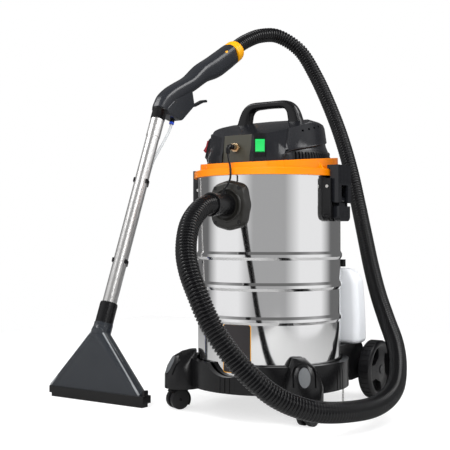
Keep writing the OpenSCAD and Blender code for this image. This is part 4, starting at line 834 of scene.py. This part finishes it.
def rounded_block(discs, half_width, rim):
    """Rings of a block across the handle whose two rims are rounded."""
    rings = []
    for side in (-1, 1):
        steps = range(7) if side < 0 else range(6, -1, -1)
        for k in steps:
            t = math.pi / 2 * k / 6
            inset = rim * (1 - math.sin(t))
            x = side * (half_width - rim * (1 - math.cos(t)))
            outline = disc_hull([(y, z, r - inset) for y, z, r in discs])
            rings.append([Vector((HANDLE_X + x * MM, y * MM, z * MM)) for y, z in outline])
    return rings


def make_pistol_handle():
    """The pistol handle: a smooth grip and neck, the trigger's housing under them and the wand's socket."""
    line = smooth_line([place for place, _, _ in PISTOL_LINE], 6)
    sizes = smooth_line([(up, wide, 0) for _, up, wide in PISTOL_LINE], 6)
    rings = []
    for i, centre in enumerate(line):
        ahead = (line[min(i + 1, len(line) - 1)] - line[max(i - 1, 0)]).normalized()
        up = ahead.cross(AXIS_X).normalized()
        rings.append(soft_section(centre, AXIS_X, up, sizes[i].y * MM, sizes[i].x * MM, 2.9, 48, 0.4 * MM))
    slot = slot_of["handle_shell_left"]
    grip = add_fixed("pistol_grip", loft(rings), slot, "handle_grey")
    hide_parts("handle_shell_left", "handle_shell_right")
    housing = loft(rounded_block(HOUSING_DISCS, HOUSING_HALF_WIDTH, HOUSING_RIM))
    add_fixed("trigger_housing", housing, slot, "handle_grey")
    add_fixed("wand_socket", wand_turned(0, SOCKET_STEPS, 48), slot, "black_plastic")


make_pistol_handle()


# Screws of the pistol handle by their place on its middle plane, and how far out their recess lies.
PISTOL_SCREWS = [(118, 735, 22.3), (143, 710, 22.3), (318, 834, 22.9)]
# A sunk screw's steps: how far out past its recess, and radius, in millimetres.
SUNK_STEPS = [(-8, 3.6), (-0.3, 3.6), (0, 3.3), (-0.2, 2.4), (-1.6, 2.2)]


def make_pistol_trim():
    """The handle's sunk screws and the amber sight by its collar."""
    for i, (y, z, out) in enumerate(PISTOL_SCREWS):
        centre = Vector((HANDLE_X, y * MM, z * MM))
        rings = [circle(centre + AXIS_X * (out + x) * MM, AXIS_Y, AXIS_Z, r * MM, 20) for x, r in SUNK_STEPS]
        add_fixed(f"sunk_screw_{i}", loft(rings), "charcoal_plastic", "label_black", smooth=False)
    ahead = Vector((0, math.sin(GRIP_LEAN), math.cos(GRIP_LEAN)))
    up = Vector((0, -math.cos(GRIP_LEAN), math.sin(GRIP_LEAN)))
    outline = rounded_outline(11 * MM, 5.5 * MM, 2 * MM)
    place = on_grip(-18, -76) + AXIS_X * 21.2 * MM
    slant = Vector((-0.52, 0, 0)) + up * 0.85
    raised_outline("amber_sight", outline, place, ahead, slant, 0.6 * MM, "amber_plastic")


make_pistol_trim()


# Spray line ------------------------------------------------------------------------

# The thin spray tube: how far it lies behind the wand's axis and up the wand, in millimetres.
SPRAY_LINE = [
    (21.5, 16), (21.5, 90), (21.5, 163), (21.5, 260), (21.5, 356), (21.5, 396), (22.5, 430), (28.5, 460),
    (48, 520), (56, 554), (56, 566),
]
SPRAY_R = 3.5 * MM
SPRAY_OFF, VALVE_OFF = 21.5, 56
# The valve's stem with its grooves, and the nut under it: height up the wand and radius, in millimetres.
STEM_STEPS = [
    (571.5, 6.2), (572, 6.6), (573, 6.2), (573.5, 5.6), (574, 6.2), (575, 6.2), (575.5, 5.6), (576, 6.2),
    (577, 6.2), (577.5, 5.6), (578, 6.2), (609, 6.2),
]
NUT_STEPS = [(565.6, 4.6), (566, 6), (566.5, 6.5), (570.5, 6.5), (571, 6.2), (571.6, 5.2)]
CLIP_HEIGHTS = [163, 376]
CLIP_RINGS = 36
# A clip's holder round the spray tube: height over the clip's middle and radius, in millimetres.
HOLDER_STEPS = [(-4.5, 5.2), (-4, 6), (4, 6), (4.5, 5.2)]


def clip_band(s, back, along):
    """The open band of a clip round the wand, whose two ends thicken into lugs."""
    rings = []
    for k in range(CLIP_RINGS + 1):
        turn = math.radians(-14 + 256 * k / CLIP_RINGS)
        out = AXIS_X * math.cos(turn) + back * math.sin(turn)
        lug = 1.4 * math.exp(-min(k, CLIP_RINGS - k) / 1.6)
        outline = rounded_outline((2.9 + lug) * MM, 9 * MM, 1.1 * MM, 3)
        middle = on_wand(0, s) + out * (18.8 + lug / 2) * MM
        rings.append([middle + out * x + along * y for x, y in outline])
    return loft(rings)


def make_spray_line():
    """The clear spray tube, the fitting under the handle that it ends in, and the clips that hold it."""
    line = smooth_line([on_wand(off, s) for off, s in SPRAY_LINE], 8)
    tube = add_fixed("clear_spray_tube", tube_mesh(line, [SPRAY_R] * len(line), 20, AXIS_X), "clear_plastic")
    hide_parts("spray_tube")
    stem = wand_turned(VALVE_OFF, STEM_STEPS, 32)
    valve = add_fixed("spray_valve_stem", stem, "blue_plastic", "black_plastic")
    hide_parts("spray_valve")
    add_fixed("blue_spray_nut", wand_turned(VALVE_OFF, NUT_STEPS, 32), "blue_plastic")
    back = Vector((0, math.cos(WAND_LEAN), -math.sin(WAND_LEAN)))
    along = Vector((0, math.sin(WAND_LEAN), math.cos(WAND_LEAN)))
    parts = []
    for s in CLIP_HEIGHTS:
        parts.append(clip_band(s, back, along))
        parts.append(wand_turned(SPRAY_OFF, [(s + t, r) for t, r in HOLDER_STEPS], 24))
    clips = add_fixed("wand_c_clips", joined(parts), slot_of["wand_clips"], "black_plastic", smooth=False)
    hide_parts("wand_clips")


make_spray_line()


# Motor cover ------------------------------------------------------------------------

# Frame of the right side face of the motor cover: x along it, z up it.
FACE_TURN = math.radians(33.7)
FACE_LEAN = math.radians(7.4)
FACE_PLACE = Vector((42 * MM, -131.2 * MM, 580 * MM))
FACE_ALONG = Vector((math.cos(FACE_TURN), math.sin(FACE_TURN), 0))
FACE_UP = Vector(
    (-math.sin(FACE_TURN) * math.sin(FACE_LEAN), math.cos(FACE_TURN) * math.sin(FACE_LEAN), math.cos(FACE_LEAN))
)


# The cover's wall: height and radius where it starts to lean, at its step and at its top, in millimetres.
COVER_WALL = [(560, 142), (594, 128), (635, 122)]


def cover_radius(z):
    """Radius of the motor cover's outside at a height, both in millimetres."""
    (foot, foot_r), (step, step_r), (top, top_r) = COVER_WALL
    if z < foot:
        return foot_r
    if z < step:
        return foot_r + (step_r - foot_r) * (z - foot) / (step - foot)
    return step_r + (top_r - step_r) * (z - step) / (top - step)


# The switch fields above and below the panel: from and to which height over the face's middle.
SWITCH_FIELDS = {"switch_field_upper": (17.6, 26), "switch_field_lower": (-34, -26.1)}
# Edge over the set-back band of the cover: bearing from the side in degrees, and height.
BAND_EDGE = [
    (47, 551), (45, 560), (41, 568.5), (34, 573.4), (26, 576.6), (14, 581.6), (0, 588), (-14, 594.2),
    (-28, 600), (-42, 605.4), (-56, 609.8),
]
BAND_EDGE_R = 1.9 * MM


def make_cover_trim():
    """The dark switch fields and the raised edges over the set-back bands of the motor cover."""
    for name, (low, high) in SWITCH_FIELDS.items():
        outline = rounded_outline(26 * MM, (high - low) * MM, 1 * MM)
        place = FACE_PLACE + FACE_ALONG * 13 * MM + FACE_UP * (low + high) / 2 * MM
        raised_outline(name, outline, place, FACE_ALONG, FACE_UP, 0.8 * MM, "black_plastic")
    for name, side in (("band_edge_left", -1), ("band_edge_right", 1)):
        points = []
        for bearing, z in BAND_EDGE:
            turn = math.radians(bearing)
            r = cover_radius(z) - 0.2
            points.append(Vector((side * r * math.cos(turn), -r * math.sin(turn), z)) * MM)
        line = smooth_line(points, 6)
        thick = [BAND_EDGE_R * min(1.0, 0.25 + min(i, len(line) - 1 - i) / 10) for i in range(len(line))]
        add_fixed(name, tube_mesh(line, thick, 12, AXIS_Z), "charcoal_plastic")


make_cover_trim()


# Inlet flange ------------------------------------------------------------------------

FLANGE_Z = 453
# The flange's steps: y in millimetres and its size there as a share; then the cuff's seat: y and radius.
FLANGE_STEPS = [(-146, 1.0), (-157, 1.0), (-160, 0.99), (-165, 0.95), (-168.5, 0.91), (-170.4, 0.87), (-171, 0.81)]
SEAT_STEPS = [
    (-171.1, 36.6), (-171.2, 35.8), (-175.4, 35.5), (-176, 34.9), (-175.9, 32), (-174.2, 31.4), (-174, 25),
]
# The flange's four screws: how far aside and up they sit, and their steps by y and radius.
SCREW_ASIDE, SCREW_UP = 30, 36
SCREW_STEPS = [(-166, 4.2), (-171.1, 4.2), (-171.5, 3.8), (-171.3, 2.6), (-170, 2.3)]
FLANGE_POINTS = 96


def flange_ring(y, size):
    """The flange's outline: a soft square whose corners and sides bulge."""
    ring = []
    for k in range(FLANGE_POINTS):
        turn = math.tau * k / FLANGE_POINTS
        c, s = math.cos(turn), math.sin(turn)
        reach = (abs(c / 48) ** 2.9 + abs(s / 52.5) ** 2.9) ** (-1 / 2.9)
        reach *= 1 + 0.02 * math.cos(8 * turn) - 0.01 * abs(math.sin(2 * turn))
        ring.append(Vector((reach * c * size * MM, y * MM, (FLANGE_Z + reach * s * size) * MM)))
    return ring


def make_inlet_flange():
    """The inlet's flange: a bulging plate with a round seat for the cuff and four screws."""
    rings = [flange_ring(y, size) for y, size in FLANGE_STEPS]
    seat = Vector((0, 0, FLANGE_Z * MM))
    rings += [circle(seat + AXIS_Y * y * MM, AXIS_X, AXIS_Z, r * MM, FLANGE_POINTS) for y, r in SEAT_STEPS]
    plate = add_fixed("bulging_inlet_flange", loft(rings), slot_of["inlet_flange"], "flange_grey")
    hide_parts("inlet_flange")
    for i, (a, b) in enumerate([(-1, -1), (-1, 1), (1, -1), (1, 1)]):
        middle = seat + Vector((a * SCREW_ASIDE, 0, b * SCREW_UP)) * MM
        rings = [circle(middle + AXIS_Y * y * MM, AXIS_X, AXIS_Z, r * MM, 20) for y, r in SCREW_STEPS]
        add_fixed(f"flange_screw_{i}", loft(rings), "black_plastic", smooth=False)


make_inlet_flange()


# Nozzle ------------------------------------------------------------------------------

NOZZLE_Y = -148 * MM
RAIL_R = 2.4 * MM
# The side rails of the nozzle: which side, and how far aside they end at the lip.
RAILS = {"nozzle_rail_left": (-1, -146.5), "nozzle_rail_right": (1, 128.5)}
# The middle ribs: height and half width; and their section as shares of that width and a depth.
RIB_STEPS = [(112, 1.2), (100, 1.8), (88, 2.4)]
RIB_SECTION = [(-1, 3), (-1, 0), (-0.6, -0.8), (0.6, -0.8), (1, 0), (1, 3)]


def on_nozzle(x, y, z):
    """A place so far aside of the nozzle's middle, behind it and up, in millimetres."""
    return Vector((HANDLE_X + x * MM, NOZZLE_Y + y * MM, z * MM))


def make_nozzle_trim():
    """The nozzle's clear side rails and its two middle ribs."""
    for name, (side, foot) in RAILS.items():
        corners = [
            on_nozzle(side * 20.5, -9.5, 160),
            on_nozzle(side * 24 - 0.5, -9.6, 155),
            on_nozzle(foot * 0.5 + side * 10, -10.9, 93),
            on_nozzle(foot, -12.2, 28),
        ]
        line = smooth_line(corners, 6)
        add_fixed(name, tube_mesh(line, [RAIL_R] * len(line), 16, AXIS_Y), "clear_plastic")
    for i, x in enumerate((-5, 5)):
        rings = []
        for z, half in RIB_STEPS:
            front = -12.4 - (z - 30) * 0.078
            rings.append([on_nozzle(x + a * half, front + b, z) for a, b in RIB_SECTION])
        add_fixed(f"nozzle_rib_{i}", loft(rings), "smoky_plastic", smooth=False)


make_nozzle_trim()


# Studio --------------------------------------------------------------------------

# The studio: a soft screen to each side of the camera, alike, dim light between them and little behind the machine.
# Bearings are from the camera, in degrees.
SCREEN_BEARING = 70
SCREEN_HALF_WIDTH = 20
SCREEN_FADE = 25
SCREEN_LEVEL = 0.9
FRONT_LEVEL = 0.4
BACK_LEVEL = 0.15

# Above the screens the studio darkens to this level, by so much per height.
CEILING_LEVEL = 0.16
CEILING_SLOPE = 2.2
CEILING_START = -0.75


def studio_levels():
    """The light round the machine, the same to both sides: bearing from the camera and brightness."""
    side = [
        (SCREEN_BEARING - SCREEN_HALF_WIDTH - SCREEN_FADE, FRONT_LEVEL),
        (SCREEN_BEARING - SCREEN_HALF_WIDTH, SCREEN_LEVEL),
        (SCREEN_BEARING + SCREEN_HALF_WIDTH, SCREEN_LEVEL),
        (SCREEN_BEARING + SCREEN_HALF_WIDTH + SCREEN_FADE, BACK_LEVEL),
    ]
    return [(-bearing, level) for bearing, level in reversed(side)] + side


def make_studio():
    """Soft light from a ring of screens, with a white ground seen by the camera."""
    world = bpy.data.worlds.new("studio")
    bpy.context.scene.world = world
    world.use_nodes = True
    tree = world.node_tree
    tree.nodes.clear()
    place = add_node(tree, "TexCoord").outputs["Generated"]
    turned = add_node(tree, "Mapping", vector_type="POINT")
    turned.inputs["Rotation"].default_value = (0, 0, -math.radians(CAMERA_AZIMUTH))
    tree.links.new(place, turned.inputs["Vector"])
    split = add_node(tree, "SeparateXYZ")
    tree.links.new(turned.outputs["Vector"], split.inputs[0])
    backwards = math_node(tree, "MULTIPLY", split.outputs["Y"], -1.0)
    bearing = math_node(tree, "ARCTAN2", split.outputs["X"], backwards)
    share = math_node(tree, "DIVIDE", bearing, 2 * math.pi)
    centred = math_node(tree, "ADD", share, 0.5)
    ramp = add_node(tree, "ValToRGB")
    stops = ramp.color_ramp.elements
    while len(stops) > 1:
        stops.remove(stops[0])
    for i, (angle, level) in enumerate(studio_levels()):
        stop = stops[0] if i == 0 else stops.new(angle / 360 + 0.5)
        stop.position = angle / 360 + 0.5
        stop.color = (level, level, level * 1.01, 1.0)
    tree.links.new(centred, ramp.inputs["Fac"])
    ceiling = add_node(tree, "MixRGB")
    height = math_node(tree, "MULTIPLY_ADD", split.outputs["Z"], CEILING_SLOPE, CEILING_START, clamp=True)
    tree.links.new(height, ceiling.inputs["Fac"])
    tree.links.new(ramp.outputs["Color"], ceiling.inputs["Color1"])
    ceiling.inputs["Color2"].default_value = (CEILING_LEVEL, CEILING_LEVEL, CEILING_LEVEL, 1.0)
    lit = add_node(tree, "Background")
    tree.links.new(ceiling.outputs["Color"], lit.inputs["Color"])
    ground = add_node(tree, "Background")
    ground.inputs["Color"].default_value = (1.0, 1.0, 1.0, 1.0)
    seen = add_node(tree, "LightPath").outputs["Is Camera Ray"]
    mix = add_node(tree, "MixShader")
    tree.links.new(seen, mix.inputs[0])
    tree.links.new(lit.outputs[0], mix.inputs[1])
    tree.links.new(ground.outputs[0], mix.inputs[2])
    out = add_node(tree, "OutputWorld")
    tree.links.new(mix.outputs[0], out.inputs[0])
    bpy.context.scene.view_settings.view_transform = "Standard"


FLOOR_REACH = 1.7
FLOOR_GREY = 0.42
FLOOR_GLOW = 0.68


def make_floor():
    """A pale floor that shows only soft shadows."""
    mesh = bpy.data.meshes.new("floor")
    reach = FLOOR_REACH
    corners = [(-reach, -reach, 0), (reach, -reach, 0), (reach, reach, 0), (-reach, reach, 0)]
    mesh.from_pydata(corners, [], [(0, 1, 2, 3)])
    floor = bpy.data.objects.new("floor", mesh)
    bpy.context.scene.collection.objects.link(floor)
    material, tree, shader = new_finish("pale_floor", [FLOOR_GREY] * 3, 0.9, Emission_Color=(1, 1, 1, 1))
    seen = add_node(tree, "LightPath").outputs["Is Camera Ray"]
    glow = math_node(tree, "MULTIPLY", seen, FLOOR_GLOW)
    tree.links.new(glow, shader.inputs["Emission Strength"])
    mesh.materials.append(material)


# Lamps: place, height aimed at on the tank's axis, size, power in watts, and whether reflections show them.
LAMPS = {
    "top_screen": ((0.3, -0.8, 3.0), 0.3, (2.4, 2.4), 60, False),
    "front_screen": ((0.9, -2.6, 1.3), 0.4, (2.0, 1.6), 60, False),
    "back_strip": ((1.3, 0.9, 2.1), 0.5, (1.8, 0.8), 26, True),
    "left_strip": ((-1.5, -0.9, 2.2), 0.5, (1.6, 0.7), 20, True),
    "right_strip": ((2.0, -1.2, 1.9), 0.5, (0.7, 1.2), 16, True),
}


def make_light(name, place, aim_height, size, power, mirrored):
    """A large soft lamp, seen in reflections only where asked."""
    data = bpy.data.lights.new(name, "AREA")
    data.shape = "RECTANGLE"
    data.size, data.size_y = size
    data.energy = power
    lamp = bpy.data.objects.new(name, data)
    bpy.context.scene.collection.objects.link(lamp)
    lamp.location = place
    lamp.rotation_mode = "QUATERNION"
    lamp.rotation_quaternion = (Vector((0, 0, aim_height)) - Vector(place)).to_track_quat("-Z", "Y")
    lamp.visible_glossy = mirrored
    return lamp


def keep_off_metal(lamps):
    """Let these lamps shape the dark plastics and leave the tank's sheet and the lid alone."""
    spared = bpy.data.collections.new("spared_from_strips")
    for name in ("tank_shell", "lid_rim"):
        spared.objects.link(frame["nodes"][name])
    for link in spared.collection_objects:
        link.light_linking.link_state = "EXCLUDE"
    for lamp in lamps:
        lamp.light_linking.receiver_collection = spared


make_studio()
make_floor()
lamps = {name: make_light(name, *numbers) for name, numbers in LAMPS.items()}
keep_off_metal([lamp for lamp in lamps.values() if lamp.visible_glossy])
